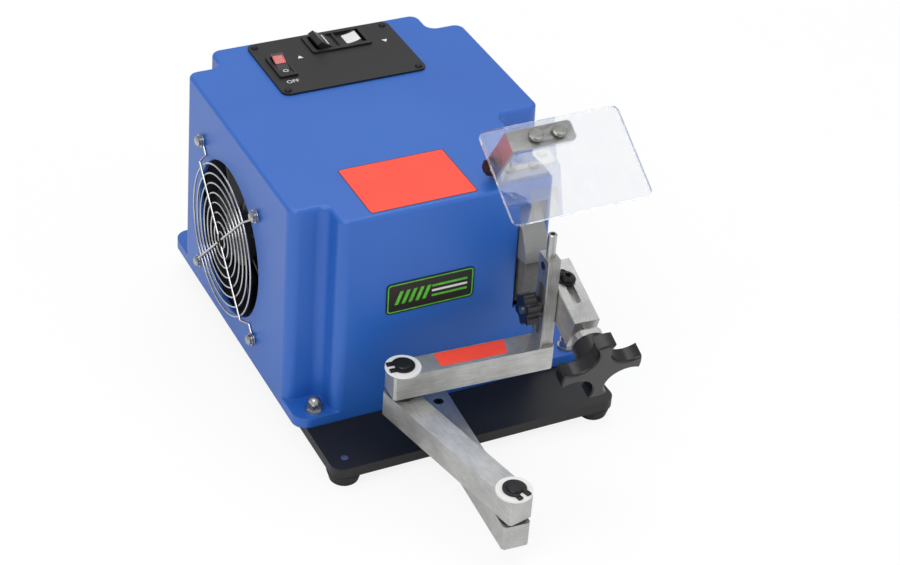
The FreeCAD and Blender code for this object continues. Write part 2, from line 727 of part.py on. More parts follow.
def make_fan_guard():
    """Chrome rings on four bent spokes. Each spoke steps down to the wall and ends in an eye."""
    wall = float(wall_at(s.fan_z))
    wire = float(s.guard_wire)
    spoke_x = wall - float(s.guard_stand)
    foot_x = wall - wire - 0.02
    rings = 8
    ring_x = spoke_x + (wire + float(s.ring_wire)) * 0.9
    step = (guard_last - s.guard_first) / (rings - 1)
    pieces = [ring(s.guard_first + step * k, s.ring_wire, ring_x) for k in range(rings)]
    centre = V(0, float(s.fan_y), float(s.fan_z))
    first = float(s.guard_first)
    last = float(guard_last)
    screw_reach = float(fan_pitch) / math.sqrt(2)
    bends = [
        (first - 1.5, spoke_x),
        (last + 3.0, spoke_x),
        (last + 7.0, foot_x),
        (screw_reach - float(s.guard_eye), foot_x),
    ]
    for across in (-1, 1):
        for up in (-1, 1):
            out = V(0, across, up).normalize()
            pieces.append(wire_run([centre + out * reach + V(x, 0, 0) for reach, x in bends], wire))
            loop = Part.makeTorus(float(s.guard_eye), wire)
            loop.Placement = FreeCAD.Placement(centre + out * screw_reach + V(foot_x, 0, 0), TO_RIGHT)
            pieces.append(loop)
    guard = pieces[0].multiFuse(pieces[1:])
    guard.rotate(centre + V(wall, 0, 0), V(0, 1, 0), float(s.shell_draft))
    return shaped("fan_guard", guard)


def make_fan():
    frame = new_body("fan_frame")
    left = s.shell_wall + 0.1
    square = new_sketch(frame, "FanSquare", "YZ_Plane", left)
    half = s.fan_size / 2
    rectangle(square, s.fan_y - half, s.fan_z - half, s.fan_y + half, s.fan_z + half)
    pad(frame, square, s.fan_thick)
    round_edges(frame, 5.0, along(V(1, 0, 0)))
    duct = new_sketch(frame, "FanDuct", "YZ_Plane", left)
    circle(duct, s.fan_y, s.fan_z, fan_bore)
    pocket(frame, duct, s.fan_thick, back=True)
    web = new_sketch(frame, "FanWeb", "YZ_Plane", left + s.fan_thick - 3)
    circle(web, s.fan_y, s.fan_z, s.fan_hub)
    for turn in (0, 90):
        wide = 2.5 if turn else fan_bore + 1
        high = fan_bore + 1 if turn else 2.5
        cross = new_sketch(frame, "FanStrut%d" % turn, "YZ_Plane", left + s.fan_thick - 3)
        rectangle(cross, s.fan_y - wide, s.fan_z - high, s.fan_y + wide, s.fan_z + high)
        pad(frame, cross, 3.0)
    pad(frame, web, 3.0)
    post = new_sketch(frame, "FanPost", "YZ_Plane", left + s.fan_thick - 3)
    circle(post, s.fan_y, s.fan_z, 2.0)
    pad(frame, post, s.fan_thick - 9, back=True)
    holes = new_sketch(frame, "FanHoles", "YZ_Plane", left)
    offset = fan_pitch / 2
    for across in (-1, 1):
        for up in (-1, 1):
            circle(holes, s.fan_y + across * offset, s.fan_z + up * offset, s.guard_screw)
    pocket(frame, holes, s.fan_thick, back=True)

    hub_left = float(left) + 2.0
    hub_depth = float(s.fan_thick) - 3.0 - 2.0 - float(s.easy_gap) * 2
    hub = Part.makeCylinder(float(s.fan_hub), hub_depth)
    hub = hub.cut(Part.makeCylinder(2.0 + float(s.fit_gap), hub_depth - 3.0, V(0, 0, 3.0)))
    blades = []
    blade_thick = 2.0
    blade_count = 7
    tip = float(fan_bore) - 2.9
    for k in range(blade_count):
        wires = []
        for radius, pitch, chord in ((float(s.fan_hub) - 1.0, 50, 19.0), (tip, 66, 27.0)):
            along_z = chord * math.cos(math.radians(pitch))
            across = chord * math.sin(math.radians(pitch))
            middle = hub_depth / 2
            corners = [
                V(radius, -across / 2, middle - along_z / 2),
                V(radius, across / 2, middle + along_z / 2),
                V(radius, across / 2 - blade_thick, middle + along_z / 2),
                V(radius, -across / 2 - blade_thick, middle - along_z / 2),
            ]
            wires.append(Part.makePolygon(corners + corners[:1]))
        blade = Part.makeLoft(wires, True, True)
        blade.rotate(V(0, 0, 0), V(0, 0, 1), 360.0 / blade_count * k)
        blades.append(blade)
    rotor = shaped("fan_rotor", hub.multiFuse(blades))
    place(rotor, hub_left, s.fan_y, s.fan_z, TO_RIGHT)

    rim = s.guard_eye + s.guard_wire + 0.8
    head = rim - 1.0
    flange = 1.0
    screw = turned("guard_screw", [
        (0, -3.0), (head - 1.2, -3.0), (head, -1.8), (head, 0), (rim, 0), (rim, flange),
        (s.guard_screw, flange), (s.guard_screw, 19.0), (0, 19.0),
    ])
    seat = s.guard_wire * 2 + flange + 0.15
    repeated("guard_screws", screw, [
        at(wall_at(s.fan_z + up * offset) - seat, s.fan_y + across * offset, s.fan_z + up * offset, TO_RIGHT)
        for across in (-1, 1) for up in (-1, 1)
    ])


# Motor, arbor and wheel

cover_reach = s.wheel_radius - 10
cover_turns = [math.radians(60.0), math.radians(120.0)]
cover_bolts = [
    (s.wheel_y + cover_reach * math.cos(turn), s.wheel_z + cover_reach * math.sin(turn)) for turn in cover_turns
]


def make_motor():
    left = s.motor_left
    ridge = s.motor_radius - 1.2
    bore = s.arbor_radius + 1.5
    cap = 14
    motor = turned("motor", [
        (bore, 0), (s.motor_radius - 5, 0), (s.motor_radius, 4), (s.motor_radius, cap), (ridge, cap),
        (ridge, s.motor_length - cap), (s.motor_radius, s.motor_length - cap), (s.motor_radius, s.motor_length),
        (bore, s.motor_length),
    ])
    taps = new_sketch(motor, "MotorTaps", height=s.motor_length)
    for side in (-1, 1):
        circle(taps, 0, side * s.motor_bolt_pitch / 2, s.frame_bolt)
    pocket(motor, taps, s.bolt_grip + 0.5)
    place(motor, left, s.wheel_y, s.wheel_z, TO_RIGHT)
    bracket = new_body("motor_bracket")
    face = left + s.motor_length
    sheet_plan = new_sketch(bracket, "BracketFace", "YZ_Plane", face)
    half = s.motor_radius - 1.5
    rectangle(sheet_plan, s.wheel_y - half, s.plate_top, s.wheel_y + half, s.wheel_z + cover_reach + 4)
    pad(bracket, sheet_plan, s.bracket_thick)
    foot = new_sketch(bracket, "BracketFoot", height=s.plate_top)
    rectangle(foot, face - s.bracket_foot, s.wheel_y - half, face, s.wheel_y + half)
    pad(bracket, foot, s.bracket_thick)
    round_edges(bracket, 4.0, both(along(V(1, 0, 0)), beyond("z", s.wheel_z)))
    bore = new_sketch(bracket, "BracketBore", "YZ_Plane", face)
    circle(bore, s.wheel_y, s.wheel_z, s.arbor_radius + 1.5)
    for side in (-1, 1):
        circle(bore, s.wheel_y + side * s.motor_bolt_pitch / 2, s.wheel_z, s.frame_bolt)
    for y, z in cover_bolts:
        circle(bore, y, z, s.frame_bolt)
    pocket(bracket, bore, s.bracket_thick, back=True)
    taps = new_sketch(bracket, "BracketTaps", height=s.plate_top + s.bracket_thick)
    for x, y in plate_bolts:
        circle(taps, x, y, s.frame_bolt)
    pocket(bracket, taps, s.bracket_thick)
    head = s.frame_bolt * 1.8
    thick = s.bracket_thick
    top = thick + 4
    key = 1.8
    bolt = turned("frame_bolt", [
        (0, -s.bolt_grip), (s.frame_bolt, -s.bolt_grip), (s.frame_bolt, thick), (head, thick),
        (head, top - 0.8), (head - 0.8, top), (key, top), (key, top - 2), (0, top - 2),
    ])
    spots = [at(x, y, s.plate_top) for x, y in plate_bolts]
    spots += [at(face, s.wheel_y + side * s.motor_bolt_pitch / 2, s.wheel_z, TO_RIGHT) for side in (-1, 1)]
    spots += [at(face + thick, y, z, TO_LEFT) for y, z in cover_bolts]
    repeated("frame_bolts", bolt, spots)


recess_radius = 20.0
recess_depth = 10.0


def make_wheel():
    right = wheel_left + s.wheel_width
    seat = right - recess_depth
    start = s.motor_left - 6
    shoulder = s.arbor_radius + 2.6
    low = s.motor_left + s.motor_length + s.bracket_thick + 4 - start
    high = wheel_left - s.flange_thick - start
    end = right - start - 1
    shaft = turned("motor_shaft", [
        (0, 0), (s.arbor_radius, 0), (s.arbor_radius, low), (shoulder, low), (shoulder, high),
        (s.arbor_radius, high), (s.arbor_radius, end), (0, end),
    ])
    place(shaft, start, s.wheel_y, s.wheel_z, TO_RIGHT)
    thick = s.flange_thick
    flange = turned("flange", [
        (s.arbor_radius, 0), (s.flange_radius - 0.5, 0), (s.flange_radius, 0.5), (s.flange_radius, thick),
        (s.arbor_radius, thick),
    ])
    repeated("wheel_flanges", flange, [
        at(wheel_left - thick, s.wheel_y, s.wheel_z, TO_RIGHT),
        at(seat + thick, s.wheel_y, s.wheel_z, TO_LEFT),
    ])
    depth = s.wheel_width
    floor = depth - recess_depth
    edge = 0.8
    wheel = turned("grinding_wheel", [
        (s.arbor_radius, 0), (s.wheel_radius - edge, 0), (s.wheel_radius, edge), (s.wheel_radius, depth - edge),
        (s.wheel_radius - edge, depth), (recess_radius, depth), (recess_radius, floor), (s.arbor_radius, floor),
    ])
    place(wheel, wheel_left, s.wheel_y, s.wheel_z, TO_RIGHT)
    nut = new_body("arbor_nut")
    flats = new_sketch(nut, "ArborNutFlats")
    tall = 5.5
    outline(flats, hexagon(19.0))
    pad(nut, flats, tall)
    bore = new_sketch(nut, "ArborNutBore", height=tall)
    circle(bore, 0, 0, s.arbor_radius)
    pocket(nut, bore, tall)
    place(nut, seat + thick, s.wheel_y, s.wheel_z, TO_RIGHT)


def make_wheel_cover():
    """Sheet cover over the wheel: a bent strip and a side web with two bosses on the motor bracket."""
    inner = float(s.wheel_radius + s.cover_gap)
    outer = inner + float(s.cover_thick)
    web_left = float(wheel_left - s.cover_thick - 0.8)
    right = float(window_right) - 1.3
    sweep = 151.0
    begin = 20.0
    strip = Part.makeCylinder(outer, right - web_left, V(0, 0, 0), V(0, 0, 1), sweep)
    strip = strip.cut(Part.makeCylinder(inner, right - web_left, V(0, 0, float(s.cover_thick))))
    web_hole = Part.makeCylinder(float(s.flange_radius) + 2.0, float(s.cover_thick))
    strip = strip.cut(web_hole)
    strip.rotate(V(0, 0, 0), V(0, 0, 1), begin)
    reach = float(cover_reach)
    span = web_left - float(s.motor_left + s.motor_length + s.bracket_thick)
    bolt = float(s.frame_bolt)
    for turn in cover_turns:
        spot = V(reach * math.cos(turn), reach * math.sin(turn), -span)
        strip = strip.fuse(Part.makeCylinder(bolt * 2, span, spot))
        strip = strip.cut(Part.makeCylinder(bolt, float(s.bolt_grip) + 0.5, spot))
    cover = shaped("wheel_cover", strip)
    turn = FreeCAD.Rotation(V(0, 1, 0), V(0, 0, 1), V(1, 0, 0), "XYZ")
    place(cover, web_left, s.wheel_y, s.wheel_z, turn)


# Control panel

def make_panel():
    panel = new_body("control_panel")
    sketch = new_sketch(panel, "PanelPlan", height=s.shell_top)
    rectangle(sketch, s.panel_left, panel_front, panel_right, panel_back)
    pad(panel, sketch, s.panel_thick)
    round_edges(panel, s.panel_corner, along(V(0, 0, 1)))
    face = s.shell_top + s.panel_thick
    cuts = new_sketch(panel, "PanelCuts", height=face)
    switch_holes(cuts)
    for x, y in panel_screws:
        circle(cuts, x, y, s.panel_screw)
    pocket(panel, cuts, s.panel_thick)
    foot = s.shell_top - 4
    rim = s.panel_screw + 1.2
    head = turned("panel_screw", [
        (0, foot), (s.panel_screw, foot), (s.panel_screw, face), (rim, face), (rim, face + 0.6),
        (1.8, face + 1.4), (0, face + 1.4),
    ])
    repeated("panel_screws", head, [at(x, y, 0) for x, y in panel_screws])


def make_switch_frame(name, x, y, half_x, half_y, rise, ledge, depth, corner):
    """A switch's rim on the panel and its case below, made about the switch's middle."""
    frame = new_body(name + "_frame")
    face = s.shell_top + s.panel_thick
    rim = new_sketch(frame, name + "Rim", height=face)
    centred(rim, x, y, half_x, half_y)
    pad(frame, rim, rise)
    round_edges(frame, corner, along(V(0, 0, 1)))
    case = new_sketch(frame, name + "Case", height=face)
    centred(case, x, y, half_x - ledge, half_y - ledge)
    pad(frame, case, depth, back=True)
    return frame


def make_rocker():
    face = s.shell_top + s.panel_thick
    half_x = s.switch_width / 2
    half_y = s.switch_depth / 2
    frame = make_switch_frame(
        "rocker", switch_x, switch_y, half_x, half_y, s.switch_rim, s.switch_ledge, s.switch_case, 1.5)
    well_x = half_x - s.switch_ledge - 1
    well_y = half_y - s.switch_ledge - 1
    well = new_sketch(frame, "RockerWell", height=face + s.switch_rim)
    centred(well, switch_x, switch_y, well_x, well_y)
    pocket(frame, well, 11.0)
    reach = well_x + 0.5
    dimples = new_sketch(frame, "RockerDimples", "YZ_Plane", switch_x - reach)
    circle(dimples, switch_y, face, s.paddle_pin + s.fit_gap)
    pocket(frame, dimples, reach * 2, back=True)

    paddle = new_body("rocker_paddle")
    wide = well_x - 0.4
    tip = well_y - 0.8
    crest = tip * 0.45
    keel = tip * 0.55
    side = new_sketch(paddle, "PaddleSide", "YZ_Plane", -wide)
    outline(side, [(-tip, 3.6), (-keel, -2.6), (keel, -2.6), (tip, 3.6), (crest, 1.9), (-crest, 1.9)])
    pad(paddle, side, wide * 2)
    pins = new_sketch(paddle, "PaddlePins", "YZ_Plane", 0.1 - reach)
    circle(pins, 0, 0, s.paddle_pin)
    pad(paddle, pins, reach * 2 - 0.2)
    place(paddle, switch_x, switch_y, face, FreeCAD.Rotation(V(1, 0, 0), float(s.switch_tilt)))


def make_direction_switch():
    face = s.shell_top + s.panel_thick
    half_x = s.turn_width / 2
    half_y = s.turn_depth / 2
    frame = make_switch_frame(
        "direction", turn_x, turn_y, half_x, half_y, s.turn_rim, s.turn_ledge, s.turn_case, 2.5)
    well_x = half_x - s.turn_border
    well_y = half_y - s.turn_border
    well = new_sketch(frame, "DirectionWell", height=face + s.turn_rim)
    centred(well, turn_x, turn_y, well_x, well_y)
    pocket(frame, well, 12.0)
    reach = well_y + 0.5
    dimples = new_sketch(frame, "DirectionDimples", "XZ_Plane", reach - turn_y)
    circle(dimples, turn_x, face, s.paddle_pin + s.fit_gap)
    pocket(frame, dimples, reach * 2)

    paddle = new_body("direction_paddle")
    wide = well_y - s.easy_gap
    tip = well_x - 0.8
    ridge = tip * 0.84
    keel = tip * 0.6
    side = new_sketch(paddle, "DirectionSide", "XZ_Plane", wide)
    outline(side, [
        (-keel, -4.0), (keel, -4.0), (tip, 0.6), (tip, 1.8), (ridge, 4.2, -s.turn_saddle), (-ridge, 4.2),
        (-tip, 1.8), (-tip, 0.6),
    ])
    pad(paddle, side, wide * 2, back=True)
    pins = new_sketch(paddle, "DirectionPins", "XZ_Plane", reach - 0.1)
    circle(pins, 0, 0, s.paddle_pin)
    pad(paddle, pins, reach * 2 - 0.2, back=True)
    place(paddle, turn_x, turn_y, face, FreeCAD.Rotation(V(0, 1, 0), float(s.turn_tilt)))


# Eye shield

def make_shield():
    top = s.shell_top
    axis_z = s.shell_top + s.shield_axis_rise
    bracket = new_body("shield_bracket")
    strip = new_sketch(bracket, "BracketStrip", height=top)
    width = s.strap_width / 2
    rectangle(strip, ear_left, s.shield_axis_y - width, ear_left + s.ear_length, s.shield_axis_y + width)
    pad(bracket, strip, s.strap_thick)
    ear = new_sketch(bracket, "BracketEar", "YZ_Plane", ear_left)
    rise = s.shield_axis_rise + 6.5
    rectangle(ear, s.shield_axis_y - width, top, s.shield_axis_y + width, top + rise)
    pad(bracket, ear, s.strap_thick)
    round_edges(bracket, 4.0, both(along(V(1, 0, 0)), beyond("z", axis_z)))
    round_edges(bracket, 4.0, both(along(V(0, 0, 1)), beyond("x", ear_left + 20)))
    eye = new_sketch(bracket, "BracketEye", "YZ_Plane", ear_left)
    circle(eye, s.shield_axis_y, axis_z, s.pivot_screw)
    pocket(bracket, eye, s.strap_thick, back=True)
    holes = new_sketch(bracket, "BracketHoles", height=top + s.strap_thick)
    for x, y in bracket_screws:
        circle(holes, x, y, s.panel_screw)
    pocket(bracket, holes, s.strap_thick)
    face = top + s.strap_thick
    foot = top - s.shell_wall
    screw = turned("bracket_screw", [
        (0, foot), (s.panel_screw, foot), (s.panel_screw, face), (4.0, face), (3.4, face + 1.5),
        (2.2, face + 2.3), (0, face + 2.3),
    ])
    repeated("bracket_screws", screw, [at(x, y, 0) for x, y in bracket_screws])

    bolt = turned("shield_bolt", [
        (0, -6.0), (3.5, -6.0), (5.6, -4.4), (5.6, -0.8), (6.6, -0.8), (6.6, 0), (s.pivot_screw, 0),
        (s.pivot_screw, s.strap_thick * 2 + 8), (0, s.strap_thick * 2 + 8),
    ])
    place(bolt, s.strap_left - s.easy_gap, s.shield_axis_y, axis_z, TO_RIGHT)
    nut = new_body("shield_nut")
    flats = new_sketch(nut, "ShieldNutFlats")
    outline(flats, hexagon(9.5))
    pad(nut, flats, 5.0)
    bore = new_sketch(nut, "ShieldNutBore", height=5.0)
    circle(bore, 0, 0, s.pivot_screw)
    pocket(nut, bore, 5.0)
    place(nut, ear_left + s.strap_thick, s.shield_axis_y, axis_z, TO_RIGHT)

    lean = at(0, s.shield_axis_y, axis_z, FreeCAD.Rotation(V(1, 0, 0), float(s.shield_tilt)))
    strap = new_body("shield_strap")
    under = s.shield_stand - s.strap_thick
    leg = new_sketch(strap, "StrapLeg", "YZ_Plane", s.strap_left)
    rectangle(leg, -width, -width, width, s.shield_stand)
    pad(strap, leg, s.strap_thick)
    low_end = s.strap_width / 2 - 0.5
    round_edges(strap, low_end, lambda edge: along(V(1, 0, 0))(edge) and edge.BoundBox.ZMax < 0)
    tongue = new_sketch(strap, "StrapTongue", height=under)
    rectangle(tongue, s.strap_left, -width, s.strap_left + s.strap_length, width)
    pad(strap, tongue, s.strap_thick)
    round_edges(strap, 3.0, both(along(V(0, 0, 1)), beyond("x", s.strap_left + 20)))
    pivot = new_sketch(strap, "StrapPivot", "YZ_Plane", s.strap_left)
    circle(pivot, 0, 0, s.pivot_screw + s.fit_gap)
    pocket(strap, pivot, s.strap_thick, back=True)
    spots = [(s.strap_left + s.strap_first, 0), (s.strap_left + s.strap_second, 0)]
    taps = new_sketch(strap, "StrapHoles", height=s.shield_stand)
    for x, y in spots:
        circle(taps, x, y, s.shield_screw)
    pocket(strap, taps, s.strap_thick)
    strap.Placement = lean

    plate = new_body("eye_shield")
    clear = new_sketch(plate, "ShieldPlan", height=s.shield_stand)
    front = s.shield_back - s.shield_length
    rectangle(clear, s.shield_left, front, s.shield_left + s.shield_width, s.shield_back)
    pad(plate, clear, s.shield_thick)
    round_edges(plate, s.shield_corner, along(V(0, 0, 1)))
    drill = new_sketch(plate, "ShieldHoles", height=s.shield_stand + s.shield_thick)
    for x, y in spots:
        circle(drill, x, y, s.shield_screw)
    pocket(plate, drill, s.shield_thick)
    plate.Placement = lean

    seat = s.shield_stand + s.shield_thick
    foot = under - 1.5
    rim = 5.2
    head = 4.2
    screw = turned("shield_screw", [
        (0, foot), (s.shield_screw, foot), (s.shield_screw, seat), (rim, seat), (rim, seat + 1.0),
        (head, seat + 1.0), (head, seat + 2.0), (head - 1.0, seat + 3.4), (0, seat + 3.4),
    ])
    node = repeated("shield_screws", screw, [at(x, y, 0) for x, y in spots])
    node.Placement = lean


# Folding arm

lower_z = s.plate_top + s.arm_gap
middle_z = lower_z + s.bar_side + s.arm_gap
upper_z = middle_z + s.bar_side + s.arm_gap
upper_top = upper_z + s.bar_side
nylon_thick = 1.6
clip_thick = 1.2


def turn_z(angle):
    return FreeCAD.Rotation(V(0, 0, 1), float(angle))


def step(x, y, reach, angle):
    """The point that lies a reach away in a direction."""
    turn = math.radians(float(angle))
    return (x + reach * math.cos(turn), y + reach * math.sin(turn))


elbow_x, elbow_y = step(s.base_pivot_x, s.base_pivot_y, s.lower_reach, s.lower_angle)
wrist_x, wrist_y = step(elbow_x, elbow_y, s.middle_reach, s.middle_angle)


def make_bar(label, reach, low, bores, tail):
    """A square bar along its own X axis with chamfered ends, from its first pivot at the origin."""
    body = new_body(label)
    half = s.bar_side / 2
    sketch = new_sketch(body, label + "Plan", height=low)
    rectangle(sketch, -s.bar_end, -half, reach + tail, half)
    pad(body, sketch, s.bar_side)
    round_edges(body, s.bar_chamfer, along(V(0, 0, 1)), "Chamfer")
    holes = new_sketch(body, label + "Bores", height=low + s.bar_side)
    for x, radius in bores:
        circle(holes, x, 0, radius)
    pocket(body, holes, s.bar_side)
    return body


def tenon_plan(sketch):
    """The clamp post's tongue, in the upper bar's own frame."""
    middle_x = s.upper_reach - s.post_width / 2
    half_x = s.tenon_width / 2
    half_y = s.tenon_depth / 2
    rectangle(sketch, middle_x - half_x, post_middle - half_y, middle_x + half_x, post_middle + half_y)


def make_arms():
    loose = s.arm_pin + s.fit_gap
    lower = make_bar("lower_arm", s.lower_reach, lower_z, [(s.lower_reach, s.arm_pin)], s.bar_end)
    bore = new_sketch(lower, "PivotBore", height=lower_z)
    circle(bore, 0, 0, loose)
    pocket(lower, bore, s.bar_side - s.pivot_roof, back=True)
    throat = new_sketch(lower, "PivotThroat", height=lower_z + s.bar_side)
    circle(throat, 0, 0, s.pivot_bolt + s.fit_gap)
    pocket(lower, throat, s.pivot_roof)
    sink = new_sketch(lower, "PivotSink", height=lower_z + s.bar_side)
    circle(sink, 0, 0, s.pivot_head + s.easy_gap)
    pocket(lower, sink, s.pivot_roof / 2)
    place(lower, s.base_pivot_x, s.base_pivot_y, 0, turn_z(s.lower_angle))
    bores = [(0, loose), (s.middle_reach, s.arm_pin)]
    middle = make_bar("middle_arm", s.middle_reach, middle_z, bores, s.bar_end)
    place(middle, elbow_x, elbow_y, 0, turn_z(s.middle_angle))
    upper = make_bar("upper_arm", s.upper_reach, upper_z, [(0, loose)], 0.0)
    socket = new_sketch(upper, "PostSocket", height=upper_top)
    tenon_plan(socket)
    pocket(upper, socket, s.tenon_length)
    place(upper, wrist_x, wrist_y, 0, turn_z(s.upper_angle))


def make_base_pivot():
    """A pin in the base plate carries the lower bar. A bolt through the bar's roof holds the bar down."""
    bar_top = lower_z + s.bar_side
    end = bar_top - s.pivot_roof - s.easy_gap
    sunk = end - 9.0
    pin = turned("base_pin", [
        (0, plate_under), (s.arm_pin, plate_under), (s.arm_pin, s.plate_top), (s.bar_side / 2, s.plate_top),
        (s.bar_side / 2, lower_z - 0.1), (s.arm_pin, lower_z - 0.1), (s.arm_pin, end), (s.pivot_bolt, end),
        (s.pivot_bolt, sunk), (0, sunk),
    ])
    place(pin, s.base_pivot_x, s.base_pivot_y)
    neck = bar_top - s.pivot_roof / 2 + s.easy_gap
    top = bar_top - 0.2
    key = s.pivot_head / 2
    bolt = turned("base_bolt", [
        (0, sunk), (s.pivot_bolt, sunk), (s.pivot_bolt, neck), (s.pivot_head, neck), (s.pivot_head, top),
        (key, top), (key, top - 1.6), (0, top - 1.6),
    ])
    place(bolt, s.base_pivot_x, s.base_pivot_y)


def make_pivots():
    """Each pin stands on its collar in the lower bar. A clip over a nylon washer holds the upper bar down."""
    joints = [
        ("elbow", elbow_x, elbow_y, lower_z, middle_z, -75.0),
        ("wrist", wrist_x, wrist_y, middle_z, upper_z, 175.0),
    ]
    for name, x, y, foot, low, clip_turn in joints:
        shelf = foot + s.bar_side
        collar = low + s.bar_side + s.easy_gap
        clip_low = collar + nylon_thick + 0.1
        groove_low = clip_low - 0.05
        groove_high = clip_low + clip_thick + 0.05
        end = groove_high + 1.15
        groove = s.arm_pin - 0.9
        rim = s.bar_side / 2
        pin = turned(name + "_pin", [
            (0, foot), (s.arm_pin, foot), (s.arm_pin, shelf), (rim, shelf), (rim, low - 0.1),
            (s.arm_pin, low - 0.1), (s.arm_pin, groove_low), (groove, groove_low), (groove, groove_high),
            (s.arm_pin, groove_high), (s.arm_pin, end - 0.8), (s.arm_pin - 0.8, end), (0, end),
        ])
        place(pin, x, y)
        washer = turned(name + "_washer", [
            (s.arm_pin, collar), (s.washer_radius, collar), (s.washer_radius, collar + nylon_thick),
            (s.arm_pin, collar + nylon_thick),
        ])
        place(washer, x, y)
        make_clip(name + "_clip", x, y, clip_low, groove, clip_turn)


def make_clip(label, x, y, low, groove, turn):
    """A retaining ring with its two drilled ears and the gap between them."""
    outer = s.arm_pin + 2.3
    ear_end = outer + 2.6
    ear_half = 5.2
    gap_half = 1.9
    eye_radius = 0.9
    body = new_body(label)
    disc = new_sketch(body, label + "Disc", height=low)
    circle(disc, 0, 0, outer)
    pad(body, disc, clip_thick)
    ears = new_sketch(body, label + "Ears", height=low)
    rectangle(ears, outer - 2.0, -ear_half, ear_end, ear_half)
    pad(body, ears, clip_thick)
    cut = new_sketch(body, label + "Cut", height=low + clip_thick)
    circle(cut, 0, 0, groove)
    pocket(body, cut, clip_thick)
    gap = new_sketch(body, label + "Gap", height=low + clip_thick)
    rectangle(gap, 0, -gap_half, ear_end + 1, gap_half)
    pocket(body, gap, clip_thick)
    eyes = new_sketch(body, label + "Eyes", height=low + clip_thick)
    for side in (-1, 1):
        circle(eyes, outer + 0.6, side * (ear_half + gap_half) / 2, eye_radius)
    pocket(body, eyes, clip_thick)
    place(body, x, y, 0, turn_z(turn))


# Clamp post on the upper arm. These pieces are made in the upper arm's own frame, from the wrist pivot.

post_left = s.upper_reach - s.post_width
post_back = s.bar_side / 2
post_front = post_back - s.post_depth
post_middle = (post_front + post_back) / 2
post_top = upper_top + s.post_height
clamp_stud_z = upper_top + s.stud_rise
slot_half = s.clamp_stud + 0.25
on_arm = at(wrist_x, wrist_y, 0, turn_z(s.upper_angle))


def on_upper_arm(item, x=0.0, y=0.0, z=0.0, turn=None):
    item.Placement = on_arm * at(x, y, z, turn)
    return item


set_screw = 1.5
set_screw_down = 7.0


def make_post():
    post = new_body("clamp_post")
    foot = new_sketch(post, "PostFoot", height=upper_top)
    rectangle(foot, post_left, post_front, s.upper_reach, post_back)
    pad(post, foot, s.post_height)
    round_edges(post, 0.8, along(V(0, 0, 1)), "Chamfer")
    tenon = new_sketch(post, "PostTenon", height=upper_top)
    tenon_plan(tenon)
    pad(post, tenon, s.tenon_length, back=True)
    slot = new_sketch(post, "PostSlot", "YZ_Plane", post_left)
    low = upper_top + s.slot_low
    high = upper_top + s.slot_high
    rectangle(slot, post_middle - slot_half, low, post_middle + slot_half, high)
    pocket(post, slot, s.post_width, back=True)
    near_slot = within(V(0, post_middle - slot_half, low), V(0, post_middle + slot_half, high), "yz")
    round_edges(post, slot_half - 0.02, both(along(V(1, 0, 0)), near_slot))
    socket = new_sketch(post, "RodSocket", height=post_top)
    circle(socket, s.upper_reach - s.post_width / 2, post_middle, s.rod_root)
    pocket(post, socket, s.rod_sunk)
    tap = new_sketch(post, "SetScrewHole", "YZ_Plane", post_left)
    circle(tap, post_middle, post_top - set_screw_down, set_screw)
    pocket(post, tap, s.post_width / 2 - s.rod_root, back=True)
    on_upper_arm(post)
    rod_x = s.upper_reach - s.post_width / 2
    low = post_top - s.rod_sunk
    top = post_top + s.rod_rise
    centre_hole = 1.6
    rod = turned("rest_rod", [
        (0, low), (s.rod_root, low), (s.rod_root, post_top), (s.rod_radius, post_top),
        (s.rod_radius, top - 0.6), (s.rod_radius - 0.6, top), (centre_hole, top), (centre_hole, top - 5),
        (0, top - 5),
    ])
    on_upper_arm(rod, rod_x, post_middle)
    end = s.post_width / 2 - s.rod_root - 0.05
    screw = turned("rod_set_screw", [
        (0, 0.3), (0.8, 0.3), (0.8, -0.4), (2.9, -0.4), (2.9, 0), (set_screw, 0), (set_screw, end), (0, end),
    ])
    on_upper_arm(screw, post_left, post_middle, post_top - set_screw_down, TO_RIGHT)


# Clamp. Its pieces are made level about the clamp stud, and then tilted with it.

block_left = s.upper_reach + s.easy_gap
block_back = s.clamp_back
block_front = s.clamp_back - s.clamp_length
block_top = s.clamp_over
block_low = s.clamp_over - s.clamp_height
block_mid = block_left + s.clamp_width / 2
tunnel_top = block_top - s.lip_thick
tunnel_low = tunnel_top - s.tunnel_height
spindle_z = tunnel_low + s.tunnel_height / 2
on_stud = on_arm * at(0, post_middle, clamp_stud_z)
tilted = on_stud * at(0, 0, 0, FreeCAD.Rotation(V(1, 0, 0), float(s.clamp_tilt)))


def on_clamp(item, x=0.0, y=0.0, z=0.0, turn=None):
    item.Placement = tilted * at(x, y, z, turn)
    return item


